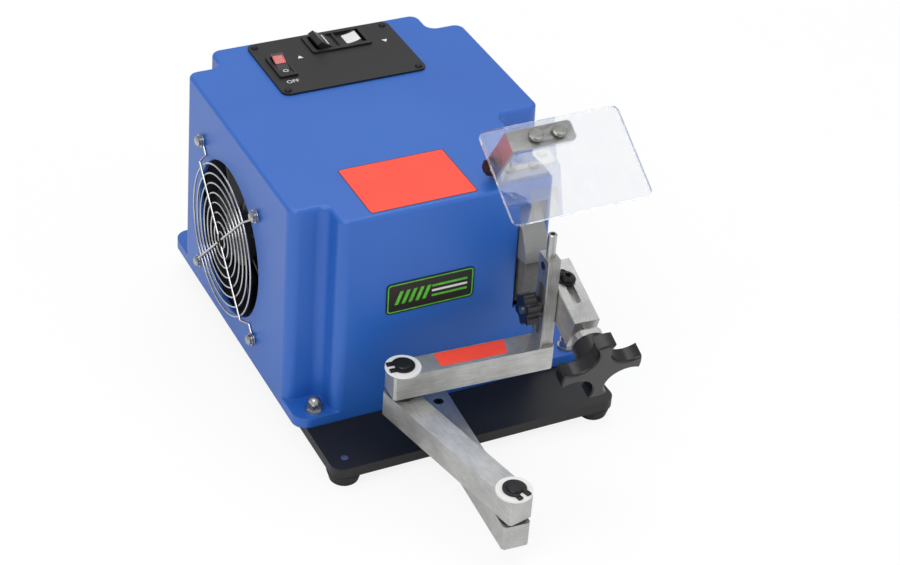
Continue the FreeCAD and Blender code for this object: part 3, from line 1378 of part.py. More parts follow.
def make_clamp_stud():
    left = post_left - s.small_knob_length - 1.0
    end = block_left + (s.clamp_width - s.tunnel_width) / 2 - 0.3
    reach = end - left
    stud = turned("clamp_stud", [
        (0, 0), (s.clamp_stud, 0), (s.clamp_stud, reach), (0, reach),
    ])
    stud.Placement = on_stud * at(left, 0, 0, TO_RIGHT)
    knob = new_body("small_knob")
    lobes = 6
    plan_of_knob = new_sketch(knob, "SmallKnobPlan")
    points = []
    for k in range(lobes):
        for offset, radius in ((-10.0, s.small_knob), (10.0, s.lobe_hollow * -1)):
            turn = math.radians(360.0 / lobes * k + offset)
            points.append((s.small_knob * math.cos(turn), s.small_knob * math.sin(turn), radius))
    outline(plan_of_knob, points)
    pad(knob, plan_of_knob, s.small_knob_length - 4)
    neck = new_sketch(knob, "SmallKnobNeck", height=s.small_knob_length - 4)
    circle(neck, 0, 0, s.small_knob * 0.62)
    pad(knob, neck, 4 - s.easy_gap)
    bore = new_sketch(knob, "SmallKnobBore", height=s.small_knob_length)
    circle(bore, 0, 0, s.clamp_stud + s.fit_gap)
    pocket(knob, bore, s.small_knob_length)
    knob.Placement = on_stud * at(post_left - s.small_knob_length, 0, 0, TO_RIGHT)


def make_clamp_body():
    body = new_body("clamp_body")
    face = new_sketch(body, "ClampEnd", "XZ_Plane", -block_back)
    rectangle(face, block_left, block_low, block_left + s.clamp_width, block_top)
    pad(body, face, s.clamp_length)
    round_edges(body, 0.7, along(V(0, 1, 0)), "Chamfer")
    way = new_sketch(body, "SlideWay", "XZ_Plane", -block_back)
    half = s.tunnel_width / 2
    rectangle(way, block_mid - half, tunnel_low, block_mid + half, tunnel_top)
    pocket(body, way, s.clamp_length - s.end_block, back=True)
    mouth = new_sketch(body, "BladeMouth", "YZ_Plane", block_left)
    rectangle(mouth, block_back - s.mouth_depth, tunnel_top - s.mouth_height, block_back + 1, tunnel_top)
    pocket(body, mouth, s.clamp_width, back=True)
    slot = new_sketch(body, "JawSlot", height=block_top)
    wide = s.jaw_screw + 0.3
    rectangle(slot, block_mid - wide, -s.slot_front, block_mid + wide, s.slot_back)
    pocket(body, slot, s.lip_thick)
    near_slot = within(V(block_mid - wide, -s.slot_front, 0), V(block_mid + wide, s.slot_back, 0), "xy")
    round_edges(body, wide - 0.02, both(along(V(0, 0, 1)), near_slot))
    drill = new_sketch(body, "SpindleHole", "XZ_Plane", -block_front)
    circle(drill, block_mid, spindle_z, s.spindle + s.fit_gap)
    for side in (-1, 1):
        circle(drill, block_mid, spindle_z + side * s.guide_pitch / 2, s.guide_pin + s.fit_gap)
    pocket(body, drill, s.end_block)
    eye = new_sketch(body, "StudHole", "YZ_Plane", block_left)
    circle(eye, 0, 0, s.clamp_stud + s.fit_gap)
    pocket(body, eye, (s.clamp_width - s.tunnel_width) / 2, back=True)
    on_clamp(body)


def make_jaw():
    gap = s.slide_gap
    half = s.tunnel_width / 2 - gap
    front = block_front + s.end_block + s.jaw_travel / 2
    nose = block_back - s.mouth_depth + s.jaw_travel
    jaw = new_body("jaw")
    side = new_sketch(jaw, "JawSide", "YZ_Plane", block_mid - half)
    top = tunnel_top - gap
    low = tunnel_low + gap
    bite = tunnel_top - s.mouth_height
    outline(side, [(front, low), (nose, low), (nose, bite), (nose - s.jaw_travel, top), (front, top)])
    pad(jaw, side, half * 2)
    tap = new_sketch(jaw, "JawTap", height=top)
    circle(tap, block_mid, s.jaw_screw_back - s.jaw_travel / 2, s.jaw_screw)
    pocket(jaw, tap, 8.0)
    drill = new_sketch(jaw, "JawDrill", "XZ_Plane", -front)
    circle(drill, block_mid, spindle_z, s.spindle + s.fit_gap)
    for up in (-1, 1):
        circle(drill, block_mid, spindle_z + up * s.guide_pitch / 2, s.guide_pin)
    pocket(jaw, drill, 6.0)
    on_clamp(jaw)

    y = s.jaw_screw_back - s.jaw_travel / 2
    washer_top = block_top + 0.3 + 1.2
    screw = turned("jaw_screw", [
        (0, top - 8), (s.jaw_screw, top - 8), (s.jaw_screw, block_top + 0.3), (6.2, block_top + 0.3),
        (6.2, washer_top), (5.0, washer_top), (4.6, washer_top + 1.8),
        (3.2, washer_top + 3.2), (1.9, washer_top + 3.2), (1.9, washer_top + 1.0), (0, washer_top + 1.0),
    ])
    on_clamp(screw, block_mid, y)

    collar_back = block_front - s.collar_gap
    pin_back = front + 6.0
    reach = pin_back - (collar_back - s.collar_thick)
    pin = turned("guide_pin", [(0, 0), (s.guide_pin, 0), (s.guide_pin, reach - 0.2), (0, reach - 0.2)])
    repeated("guide_pins", pin, [
        at(block_mid, pin_back, spindle_z + up * s.guide_pitch / 2, TO_FRONT) for up in (-1, 1)
    ])
    made[-1].Placement = tilted
    collar = new_body("collar_plate")
    plan_of_collar = new_sketch(collar, "CollarPlan", "XZ_Plane", -collar_back)
    tall = s.collar_height / 2
    wide = s.clamp_width / 2
    rectangle(plan_of_collar, block_mid - wide, spindle_z - tall, block_mid + wide, spindle_z + tall)
    pad(collar, plan_of_collar, s.collar_thick)
    round_edges(collar, 3.0, along(V(0, 1, 0)), "Chamfer")
    bores = new_sketch(collar, "CollarBores", "XZ_Plane", -collar_back)
    circle(bores, block_mid, spindle_z, s.spindle + s.fit_gap)
    for up in (-1, 1):
        circle(bores, block_mid, spindle_z + up * s.guide_pitch / 2, s.guide_pin)
    pocket(collar, bores, s.collar_thick, back=True)
    on_clamp(collar)

    hub_back = collar_back - s.collar_thick - s.easy_gap
    knob = new_body("star_knob")
    hub = new_sketch(knob, "StarHub")
    circle(hub, 0, 0, s.hub_radius)
    pad(knob, hub, s.hub_length)
    cross = new_sketch(knob, "StarArms", height=s.hub_length - 1)
    half_tip = math.asin(float(s.star_arm) / 2 / float(s.star_radius))
    corners = []
    for k in range(4):
        for offset, radius in ((-half_tip, s.star_radius), (half_tip, s.star_hollow * -1)):
            turn = math.pi / 2 * k + offset
            corners.append((s.star_radius * math.cos(turn), s.star_radius * math.sin(turn), radius))
    outline(cross, corners)
    pad(knob, cross, s.star_thick)
    round_edges(knob, 1.5, level(s.hub_length - 1 + s.star_thick))
    socket = new_sketch(knob, "StarSocket")
    circle(socket, 0, 0, s.spindle)
    pocket(knob, socket, s.hub_length, back=True)
    on_clamp(knob, block_mid, hub_back, spindle_z, TO_FRONT * turn_z(6.0))
    inner = front + 4.0
    span = inner - hub_back + s.hub_length
    spindle = turned("clamp_spindle", [(0, 0), (s.spindle, 0), (s.spindle, span), (0, span)])
    on_clamp(spindle, block_mid, inner, spindle_z, TO_FRONT)


# Power inlet

def make_electrics():
    wide = s.inlet_pitch / 2 + 5
    high = s.inlet_high / 2 + 1.5
    y = s.shell_depth + (s.shell_top - s.inlet_z + high) * math.tan(math.radians(float(s.shell_draft)))
    inlet = new_body("power_inlet")
    flange = new_sketch(inlet, "InletFlange", "XZ_Plane", -y)
    rectangle(flange, s.inlet_x - wide, s.inlet_z - high, s.inlet_x + wide, s.inlet_z + high)
    pad(inlet, flange, 2.2, back=True)
    round_edges(inlet, 3.0, along(V(0, 1, 0)))
    core = new_sketch(inlet, "InletCore", "XZ_Plane", -y)
    gap = 0.2
    rectangle(core, s.inlet_x - s.inlet_wide / 2 + gap, s.inlet_z - s.inlet_high / 2 + gap,
              s.inlet_x + s.inlet_wide / 2 - gap, s.inlet_z + s.inlet_high / 2 - gap)
    pad(inlet, core, 20.0)
    well = new_sketch(inlet, "InletWell", "XZ_Plane", -y - 2.2)
    rectangle(well, s.inlet_x - 12, s.inlet_z - 8, s.inlet_x + 12, s.inlet_z + 8)
    pocket(inlet, well, 17.0, back=True)
    holes = new_sketch(inlet, "InletHoles", "XZ_Plane", -y - 2.2)
    for side in (-1, 1):
        circle(holes, s.inlet_x + side * s.inlet_pitch / 2, s.inlet_z, s.inlet_screw)
    pocket(inlet, holes, 2.2, back=True)
    blade = Part.makeBox(4.0, 13.0, 1.2, V(-2.0, 0, -0.6))
    blades = []
    for dx, dz in ((-6.5, -2.0), (6.5, -2.0), (0, 2.6)):
        copy = blade.copy()
        copy.translate(V(float(s.inlet_x) + dx, float(y) + 2.2 - 17.0, float(s.inlet_z) + dz))
        blades.append(copy)
    shaped("inlet_contacts", Part.makeCompound(blades))
    length = 8
    screw = turned("inlet_screw", [
        (0, -length), (s.inlet_screw, -length), (s.inlet_screw, 0), (3.2, 0), (2.4, 1.6), (0, 1.6),
    ])
    repeated("inlet_screws", screw, [
        at(s.inlet_x + side * s.inlet_pitch / 2, y + 2.2, s.inlet_z, TO_BACK) for side in (-1, 1)
    ])


for build in (
    make_base_plate, make_feet, make_housing, make_housing_fasteners, make_fan_guard, make_fan, make_motor,
    make_wheel, make_wheel_cover, make_panel, make_rocker, make_direction_switch, make_shield, make_arms,
    make_base_pivot, make_pivots, make_post, make_clamp_stud, make_clamp_body, make_jaw, make_electrics,
):
    build()

doc.recompute()
for item in doc.Objects:
    if "Invalid" in item.State or "Error" in item.State:
        raise RuntimeError("%s failed" % item.Name)

origin = V(float(s.plate_left + s.foot_inset), float(s.plate_front + s.foot_inset), 0)
os.makedirs("parts", exist_ok=True)
for item in made:
    item.Placement.Base = item.Placement.Base - origin
    if item.Shape.isNull() or not item.Shape.isValid():
        raise RuntimeError("%s has no valid shape" % item.Label)
for item in made:
    item.Shape.exportStep("parts/%s.step" % item.Label)
print(len(made), "nodes,", sum(len(item.Shape.Solids) for item in made), "solids")
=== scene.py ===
import math

import bmesh
import bpy
from mathutils import Matrix, Vector
from mathutils.bvhtree import BVHTree


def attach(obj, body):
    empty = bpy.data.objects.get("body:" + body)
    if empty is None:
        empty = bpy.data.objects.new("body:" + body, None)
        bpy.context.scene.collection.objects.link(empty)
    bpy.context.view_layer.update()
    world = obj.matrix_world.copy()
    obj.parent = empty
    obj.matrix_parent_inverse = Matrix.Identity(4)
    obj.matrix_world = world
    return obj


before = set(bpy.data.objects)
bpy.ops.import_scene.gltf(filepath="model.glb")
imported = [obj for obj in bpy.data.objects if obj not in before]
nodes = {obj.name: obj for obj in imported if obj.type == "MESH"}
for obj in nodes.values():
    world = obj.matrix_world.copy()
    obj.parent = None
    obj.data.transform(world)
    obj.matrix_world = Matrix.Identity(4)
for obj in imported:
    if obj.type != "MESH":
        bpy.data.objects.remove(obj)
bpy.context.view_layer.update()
MM = 0.001

# Places are in millimetres from the housing's corner line, which lies at this offset from the front left foot

CORNER_X = -16.4
CORNER_Y = 40.5
PANEL_FACE = 183.4


def spot(x, y, z):
    """A place given from the housing's corner line, in metres from the foot."""
    return Vector(((x + CORNER_X) * MM, (y + CORNER_Y) * MM, z * MM))


def srgb(red, green, blue):
    """Screen colour, 0 to 255, as the linear values a shader takes."""
    def channel(value):
        value /= 255
        return value / 12.92 if value <= 0.04045 else ((value + 0.055) / 1.055) ** 2.4
    return (channel(red), channel(green), channel(blue), 1.0)


# Materials

def new_material(name, **sockets):
    """A material with its shader's constants set. Returns the material, its node tree and its shader."""
    material = bpy.data.materials.new(name)
    material.use_nodes = True
    tree = material.node_tree
    shader = tree.nodes["Principled BSDF"]
    for socket, value in sockets.items():
        shader.inputs[socket.replace("_", " ")].default_value = value
    return material, tree, shader


def texture_space(tree, stretch=(1, 1, 1), turn=(0, 0, 0)):
    """Object coordinates, stretched and turned."""
    coords = tree.nodes.new("ShaderNodeTexCoord")
    mapping = tree.nodes.new("ShaderNodeMapping")
    mapping.vector_type = "TEXTURE"
    mapping.inputs["Rotation"].default_value = turn
    mapping.inputs["Scale"].default_value = stretch
    tree.links.new(coords.outputs["Object"], mapping.inputs["Vector"])
    return mapping.outputs["Vector"]


def noise(tree, vector, scale, detail=4.0, roughness=0.55):
    """A noise texture's value."""
    node = tree.nodes.new("ShaderNodeTexNoise")
    node.inputs["Scale"].default_value = scale
    node.inputs["Detail"].default_value = detail
    node.inputs["Roughness"].default_value = roughness
    tree.links.new(vector, node.inputs["Vector"])
    return node.outputs["Fac"]


def spread(tree, value, low, high, start=0.3, end=0.7):
    """Maps a texture's middle range to a range of numbers."""
    node = tree.nodes.new("ShaderNodeMapRange")
    node.inputs["From Min"].default_value = start
    node.inputs["From Max"].default_value = end
    node.inputs["To Min"].default_value = low
    node.inputs["To Max"].default_value = high
    tree.links.new(value, node.inputs["Value"])
    return node.outputs["Result"]


def blend(tree, value, dark, light):
    """Mixes two colours by a texture."""
    node = tree.nodes.new("ShaderNodeValToRGB")
    node.color_ramp.elements[0].position = 0.3
    node.color_ramp.elements[0].color = dark
    node.color_ramp.elements[1].position = 0.7
    node.color_ramp.elements[1].color = light
    tree.links.new(value, node.inputs["Fac"])
    return node.outputs["Color"]


def bump(tree, shader, value, height, strength=1.0):
    """Raises a texture's light parts, over whatever already shapes the shader's normal."""
    node = tree.nodes.new("ShaderNodeBump")
    node.inputs["Distance"].default_value = height
    node.inputs["Strength"].default_value = strength
    tree.links.new(value, node.inputs["Height"])
    previous = shader.inputs["Normal"].links
    if previous:
        tree.links.new(previous[0].from_socket, node.inputs["Normal"])
    tree.links.new(node.outputs["Normal"], shader.inputs["Normal"])


def soften(tree, shader, radius):
    """Rounds the edges that the light catches."""
    bevel = tree.nodes.new("ShaderNodeBevel")
    bevel.samples = 4
    bevel.inputs["Radius"].default_value = radius
    tree.links.new(bevel.outputs["Normal"], shader.inputs["Normal"])


# How much the fine grain and the broad mottling count in a finish

FINE_SHARE = 0.45
BROAD_SHARE = 0.55


def finish_material(name, dark, light, rough, grain=900.0, depth=0.00002, mottle=18.0, stretch=(1, 1, 1),
                    turn=(0, 0, 0), edge=0.0, **sockets):
    """Mottled colour and roughness over a fine grain. Stretching the grain makes machining lines."""
    material, tree, shader = new_material(name, **sockets)
    if edge:
        soften(tree, shader, edge)
    broad = noise(tree, texture_space(tree), mottle, 5.0, 0.6)
    fine = noise(tree, texture_space(tree, stretch, turn), grain, 3.0, 0.5)
    mixed = tree.nodes.new("ShaderNodeMath")
    mixed.operation = "MULTIPLY_ADD"
    mixed.inputs[1].default_value = FINE_SHARE
    tree.links.new(fine, mixed.inputs[0])
    tree.links.new(spread(tree, broad, 0.0, BROAD_SHARE, 0.0, 1.0), mixed.inputs[2])
    tree.links.new(blend(tree, mixed.outputs["Value"], dark, light), shader.inputs["Base Color"])
    tree.links.new(spread(tree, mixed.outputs["Value"], rough[0], rough[1]), shader.inputs["Roughness"])
    bump(tree, shader, fine, depth)
    return material


def milled(name, angle, tilt=0.0, dark=srgb(150, 150, 148), light=srgb(206, 206, 203)):
    """Milled aluminium with cutter lines along a bar that lies at an angle in plan."""
    return finish_material(
        name, dark, light, (0.30, 0.52), grain=1500.0, depth=0.000012, mottle=45.0, stretch=(14, 1, 1),
        turn=(0, math.radians(tilt), math.radians(angle)), edge=0.0004, Metallic=0.85,
    )


plastic_blue = finish_material(
    "housing_blue", srgb(30, 90, 176), srgb(37, 98, 185), (0.36, 0.48), grain=1400.0, depth=0.000012,
    mottle=9.0, edge=0.0018, Coat_Weight=0.1, Coat_Roughness=0.3,
)
powder_black = finish_material(
    "plate_black", srgb(13, 13, 13), srgb(21, 21, 21), (0.42, 0.6), grain=1700.0, depth=0.00003,
    edge=0.0004,
)
rubber_black = finish_material(
    "rubber_black", srgb(14, 14, 15), srgb(26, 26, 27), (0.6, 0.8), grain=1100.0, depth=0.00003,
)
zinc = finish_material(
    "zinc_steel", srgb(150, 150, 147), srgb(205, 204, 198), (0.22, 0.4), grain=1600.0, depth=0.000008,
    mottle=120.0, Metallic=1.0,
)
chrome = finish_material(
    "guard_chrome", srgb(172, 172, 174), srgb(214, 214, 216), (0.12, 0.26), grain=1200.0, depth=0.000004,
    mottle=60.0, Metallic=1.0,
)
moulded_black = finish_material(
    "moulded_black", srgb(15, 15, 16), srgb(27, 27, 28), (0.3, 0.45), grain=1500.0, depth=0.00001,
    mottle=40.0,
)
knob_black = finish_material(
    "knob_black", srgb(14, 14, 15), srgb(26, 26, 27), (0.25, 0.38), grain=900.0, depth=0.000008,
    mottle=40.0, edge=0.0006,
)
oxide_black = finish_material(
    "oxide_black", srgb(22, 22, 24), srgb(48, 47, 47), (0.32, 0.5), grain=1800.0, depth=0.00001,
    mottle=150.0, Metallic=0.6,
)
fan_grey = finish_material(
    "fan_plastic", srgb(20, 20, 22), srgb(34, 34, 36), (0.38, 0.5), grain=1300.0, depth=0.000012,
)
motor_grey = finish_material(
    "motor_grey", srgb(52, 53, 55), srgb(72, 73, 75), (0.4, 0.55), grain=1500.0, depth=0.00003,
)
cover_grey = finish_material(
    "cover_grey", srgb(118, 118, 118), srgb(146, 146, 145), (0.38, 0.52), grain=1300.0, depth=0.00002,
    mottle=25.0, Metallic=0.25,
)
ground_steel = finish_material(
    "ground_steel", srgb(150, 150, 150), srgb(196, 195, 192), (0.2, 0.36), grain=1500.0, depth=0.000006,
    stretch=(1, 1, 9), Metallic=1.0,
)
wheel_grit = finish_material(
    "wheel_grit", srgb(84, 84, 85), srgb(138, 137, 134), (0.55, 0.8), grain=2600.0, depth=0.00008,
    mottle=60.0, Metallic=0.3,
)
panel_black = finish_material(
    "panel_black", srgb(8, 8, 9), srgb(15, 15, 16), (0.4, 0.52), grain=1600.0, depth=0.000006,
)
strap_steel = finish_material(
    "strap_steel", srgb(176, 175, 172), srgb(212, 211, 208), (0.26, 0.4), grain=1500.0, depth=0.000008,
    stretch=(8, 1, 1), Metallic=0.9,
)
nylon = finish_material(
    "washer_nylon", srgb(214, 214, 211), srgb(236, 236, 233), (0.4, 0.55), grain=1200.0, depth=0.00001,
    Subsurface_Weight=0.15, Subsurface_Scale=0.002,
)
brass = finish_material(
    "contact_brass", srgb(176, 146, 84), srgb(206, 178, 116), (0.24, 0.4), grain=1500.0, depth=0.000006,
    Metallic=1.0,
)
lamp_red = finish_material(
    "paddle_lens", srgb(168, 22, 26), srgb(214, 40, 42), (0.16, 0.28), grain=1100.0, depth=0.000008,
    Transmission_Weight=0.25, Coat_Weight=0.4,
)
lens_white = finish_material(
    "lens_white", srgb(206, 206, 203), srgb(232, 232, 229), (0.2, 0.32), grain=1800.0, depth=0.00002,
)
print_white = finish_material(
    "print_white", srgb(206, 208, 210), srgb(228, 229, 230), (0.4, 0.5), grain=2200.0, depth=0.000004,
)
label_red = finish_material(
    "label_red", srgb(238, 62, 40), srgb(250, 80, 56), (0.42, 0.55), grain=1400.0, depth=0.000006,
    mottle=30.0,
)
label_edge = finish_material(
    "label_edge", srgb(38, 16, 16), srgb(56, 22, 20), (0.45, 0.58), grain=1400.0, depth=0.000006,
)
badge_black = finish_material(
    "badge_black", srgb(12, 15, 13), srgb(24, 28, 25), (0.3, 0.42), grain=1500.0, depth=0.000008,
)
badge_green = finish_material(
    "badge_green", srgb(52, 150, 40), srgb(96, 206, 60), (0.3, 0.42), grain=900.0, depth=0.000008,
    mottle=160.0,
)


def clear_sheet():
    """Clear plastic sheet with a faint cool tint and light rubbing marks."""
    material, tree, shader = new_material(
        "shield_clear", Transmission_Weight=1.0, IOR=1.49, Roughness=0.03, Alpha=0.55,
    )
    wear = noise(tree, texture_space(tree, (1, 6, 1)), 120.0, 6.0, 0.7)
    tint = blend(tree, wear, (0.86, 0.89, 0.94, 1), (0.95, 0.965, 0.985, 1))
    tree.links.new(tint, shader.inputs["Base Color"])
    tree.links.new(spread(tree, wear, 0.02, 0.07), shader.inputs["Roughness"])
    return material


shield_clear = clear_sheet()

# Where the upper bar's wrist pin stands, and how the bars lie in plan, in degrees

WRIST_X = 57.8
WRIST_Y = -39.1
UPPER_TURN = -3.3
MIDDLE_TURN = 101.9
LOWER_TURN = -93.4

bar_upper = milled("bar_upper", UPPER_TURN)
bar_middle = milled("bar_middle", MIDDLE_TURN)
bar_lower = milled("bar_lower", LOWER_TURN)
# The upright post is the same aluminium as the bars; its darker tones are painted shade on its side faces.
bar_upright_painted_shade = milled("bar_upright_painted_shade", 0.0, 90.0, srgb(140, 140, 138), srgb(196, 196, 193))
# The clamp parts are the same aluminium as the bars; their lighter tones are painted light.
bar_clamp_painted_light = milled("bar_clamp_painted_light", 90.0 + UPPER_TURN, 0.0, srgb(160, 160, 158), srgb(214, 214, 211))

FINISHES = {
    plastic_blue: ["housing"],
    powder_black: ["base_plate"],
    rubber_black: ["rubber_feet"],
    zinc: ["housing_studs", "stud_washers", "dome_nuts", "guard_screws", "bracket_screws", "shield_nut",
           "shield_screws", "foot_screws"],
    chrome: ["fan_guard"],
    fan_grey: ["fan_frame", "fan_rotor"],
    motor_grey: ["motor"],
    cover_grey: ["motor_bracket", "wheel_cover"],
    oxide_black: ["frame_bolts", "panel_screws", "shield_bolt", "base_pin", "base_bolt", "elbow_pin",
                  "elbow_clip", "wrist_pin", "wrist_clip", "rod_set_screw", "jaw_screw", "inlet_screws"],
    ground_steel: ["motor_shaft", "wheel_flanges", "arbor_nut", "rest_rod", "clamp_stud", "guide_pins",
                   "clamp_spindle"],
    wheel_grit: ["grinding_wheel"],
    panel_black: ["control_panel"],
    moulded_black: ["rocker_frame", "rocker_paddle", "direction_frame", "direction_paddle", "power_inlet"],
    strap_steel: ["shield_bracket", "shield_strap"],
    shield_clear: ["eye_shield"],
    nylon: ["elbow_washer", "wrist_washer"],
    knob_black: ["small_knob", "star_knob"],
    brass: ["inlet_contacts"],
    bar_upper: ["upper_arm"],
    bar_middle: ["middle_arm"],
    bar_lower: ["lower_arm"],
    bar_upright_painted_shade: ["clamp_post"],
    bar_clamp_painted_light: ["clamp_body", "jaw", "collar_plate"],
}
for material, names in FINISHES.items():
    for name in names:
        nodes[name].data.materials.clear()
        nodes[name].data.materials.append(material)


# Thin pieces laid on the solids

SEAT = 0.02
START_ABOVE = 260
START_IN_FRONT = -60


def rounded(half_x, half_y, radius, steps=6):
    """A rounded rectangle about the origin, in millimetres."""
    points = []
    for x, y, start in ((1, 1, 0), (-1, 1, 90), (-1, -1, 180), (1, -1, 270)):
        for k in range(steps + 1):
            angle = math.radians(start + 90 * k / steps)
            points.append((x * (half_x - radius) + radius * math.cos(angle),
                           y * (half_y - radius) + radius * math.sin(angle)))
    return points


def eased(corners, radius, steps=5):
    """A polygon with its corners rounded, in millimetres."""
    points = []
    for k, corner in enumerate(corners):
        here = Vector(corner)
        before = (Vector(corners[k - 1]) - here).normalized()
        after = (Vector(corners[(k + 1) % len(corners)]) - here).normalized()
        start = here + before * radius
        end = here + after * radius
        for step in range(steps + 1):
            part = step / steps
            points.append(tuple((1 - part) ** 2 * start + 2 * part * (1 - part) * here + part ** 2 * end))
    return points


def circle(radius, sides=30):
    """Points round a circle about the origin."""
    angles = [2 * math.pi * k / sides for k in range(sides)]
    return [(radius * math.cos(angle), radius * math.sin(angle)) for angle in angles]


def moved(points, x, y, turn=0.0):
    """Points turned by degrees and moved."""
    cosine = math.cos(math.radians(turn))
    sine = math.sin(math.radians(turn))
    return [(x + cosine * u - sine * v, y + sine * u + cosine * v) for u, v in points]


def new_piece(name, form, material, body):
    """Makes a piece from a bmesh and lets it ride on a body."""
    mesh = bpy.data.meshes.new(name)
    bmesh.ops.recalc_face_normals(form, faces=form.faces)
    form.to_mesh(mesh)
    form.free()
    mesh.materials.append(material)
    piece = bpy.data.objects.new(name, mesh)
    bpy.context.scene.collection.objects.link(piece)
    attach(piece, body)


def laid(name, outline, node, thick, material, body, hole=None, front=False, slices=0):
    """A thin piece laid on a node's surface, from above or from the front. Slices let it curve."""
    source = nodes[node].data
    surface = BVHTree.FromPolygons([v.co for v in source.vertices], [p.vertices for p in source.polygons])
    way = Vector((0, 1, 0)) if front else Vector((0, 0, -1))

    def clear_of_it(u, v):
        return spot(u, START_IN_FRONT, v) if front else spot(u, v, START_ABOVE)

    form = bmesh.new()
    edges = []
    for loop in [outline, hole] if hole else [outline]:
        verts = [form.verts.new(clear_of_it(u, v)) for u, v in loop]
        edges += [form.edges.new((verts[k - 1], verts[k])) for k in range(len(verts))]
    bmesh.ops.triangle_fill(form, use_beauty=True, use_dissolve=False, edges=edges)
    low = min(u for u, v in outline)
    high = max(u for u, v in outline)
    for k in range(1, slices):
        cut = clear_of_it(low + (high - low) * k / slices, 0)
        whole = form.verts[:] + form.edges[:] + form.faces[:]
        bmesh.ops.bisect_plane(form, geom=whole, plane_co=cut, plane_no=(1, 0, 0))
    for vert in form.verts:
        place = surface.ray_cast(vert.co, way)[0] or surface.find_nearest(vert.co)[0]
        vert.co = place - way * (SEAT * MM)
    raised = bmesh.ops.extrude_face_region(form, geom=form.faces[:])
    for item in raised["geom"]:
        if isinstance(item, bmesh.types.BMVert):
            item.co -= way * (thick * MM)
    new_piece(name, form, material, body)


# Blank labels on the housing's top and on the upper bar

LABEL_THICK = 0.12
LABEL_X = 89.25
LABEL_Y = 33.1
LABEL_HALF_X = 39.75
LABEL_HALF_Y = 28.4
LABEL_CORNER = 2.4
LABEL_BORDER = 0.55


def top_label():
    """An orange red label with a thin dark border."""
    border = LABEL_BORDER
    edge = moved(rounded(LABEL_HALF_X, LABEL_HALF_Y, LABEL_CORNER), LABEL_X, LABEL_Y)
    field = rounded(LABEL_HALF_X - border, LABEL_HALF_Y - border, LABEL_CORNER - 0.5)
    field = moved(field, LABEL_X, LABEL_Y)
    laid("top_label_border", edge, "housing", LABEL_THICK, label_edge, "base", hole=field)
    laid("top_label", field, "housing", LABEL_THICK, label_red, "base")


def arm_label():
    """An orange red label along the upper bar, with one slanted end."""
    near = 25.4
    far_front = 74.5
    far_back = 78.0
    front = -6.0
    back = 8.6
    corner = 1.5
    outline = eased([(near, back), (near, front), (far_front, front), (far_back, back)], corner)
    outline = moved(outline, WRIST_X, WRIST_Y, UPPER_TURN)
    laid("arm_label", outline, "upper_arm", LABEL_THICK, label_red, "upper_link")


top_label()
arm_label()


# Badge on the housing's front: black with a green line, five slants and three bars

BADGE_X = 94.25
BADGE_Z = 112.05
BADGE_HALF_X = 33.25
BADGE_HALF_Z = 12.45
BADGE_CORNER = 3.2
RIM_WIDTH = 0.95
LINE_WIDTH = 0.8
RIM_THICK = 0.7
LINE_THICK = 0.75
FIELD_THICK = 0.6
MOTIF_THICK = 0.8
SLANT_COUNT = 5
SLANT_FIRST = -24.0
SLANT_STEP = 5.2
BAR_CENTRE = 14.5
BAR_HALF = 13.5
BAR_STEP = 4.0


def on_badge(outline, x=0.0, z=0.0):
    """Points about a place on the badge."""
    return moved(outline, BADGE_X + x, BADGE_Z + z)


def badge_outline(inset, corner):
    """The badge's edge, drawn in by an inset."""
    return on_badge(rounded(BADGE_HALF_X - inset, BADGE_HALF_Z - inset, corner))


def badge():
    """A black rim, a green line and a black field that carries the motif."""
    edge = badge_outline(0.0, BADGE_CORNER)
    line = badge_outline(RIM_WIDTH, 2.4)
    field = badge_outline(RIM_WIDTH + LINE_WIDTH, 1.8)
    laid("badge_rim", edge, "housing", RIM_THICK, badge_black, "base", hole=line, front=True)
    laid("badge_line", line, "housing", LINE_THICK, badge_green, "base", hole=field, front=True)
    laid("badge_field", field, "housing", FIELD_THICK, badge_black, "base", front=True)
    slant = [(-3.0, -5.2), (-0.4, -5.2), (3.6, 5.2), (1.0, 5.2)]
    for k in range(SLANT_COUNT):
        outline = on_badge(slant, SLANT_FIRST + SLANT_STEP * k)
        laid("badge_slant_" + str(k), outline, "housing", MOTIF_THICK, badge_green, "base", front=True)
    for k, material in enumerate((badge_green, print_white, badge_green)):
        outline = on_badge(rounded(BAR_HALF, 0.8, 0.7, 3), BAR_CENTRE, BAR_STEP * (1 - k))
        laid("badge_bar_" + str(k), outline, "housing", MOTIF_THICK, material, "base", front=True)


badge()


# Control panel: a triangle each side of the direction switch, and the switches' own marks

PRINT_THICK = 0.06
LINE_PRINT_THICK = 0.12
RED_LENS_THICK = 0.35
WHITE_LENS_THICK = 0.3
ROCKER_X = 66.3
DIRECTION_Y = 224.0


def triangle_mark(name, x, y, height):
    """A printed triangle. A negative height points it to the front."""
    half = 2.2
    foot = y - height * 0.8
    outline = [(x - half, foot), (x + half, foot), (x, y + height)]
    laid(name, outline, "control_panel", PRINT_THICK, print_white, "base")


def rocker_marks():
    """The off mark on the rocker's front end and the red lens in its back end."""
    radius = 2.1
    ring = moved(circle(radius), ROCKER_X, 193.6)
    hole = moved(circle(radius * 0.68), ROCKER_X, 193.6)
    laid("rocker_o", ring, "rocker_paddle", PRINT_THICK, print_white, "rocker", hole=hole)
    lens = moved(rounded(4.3, 3.9, 0.8), ROCKER_X, 206.6)
    laid("rocker_lens", lens, "rocker_paddle", RED_LENS_THICK, lamp_red, "rocker")


def off_letters():
    """OFF, printed before the rocker."""
    letters = bpy.data.curves.new("off_mark", "FONT")
    letters.body = "OFF"
    letters.size = 5.6 * MM
    letters.align_x = "CENTER"
    letters.align_y = "CENTER"
    letters.extrude = 0.03 * MM
    letters.materials.append(print_white)
    mark = bpy.data.objects.new("off_mark", letters)
    mark.location = spot(ROCKER_X, 179.6, PANEL_FACE + 0.04)
    bpy.context.scene.collection.objects.link(mark)
    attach(mark, "base")


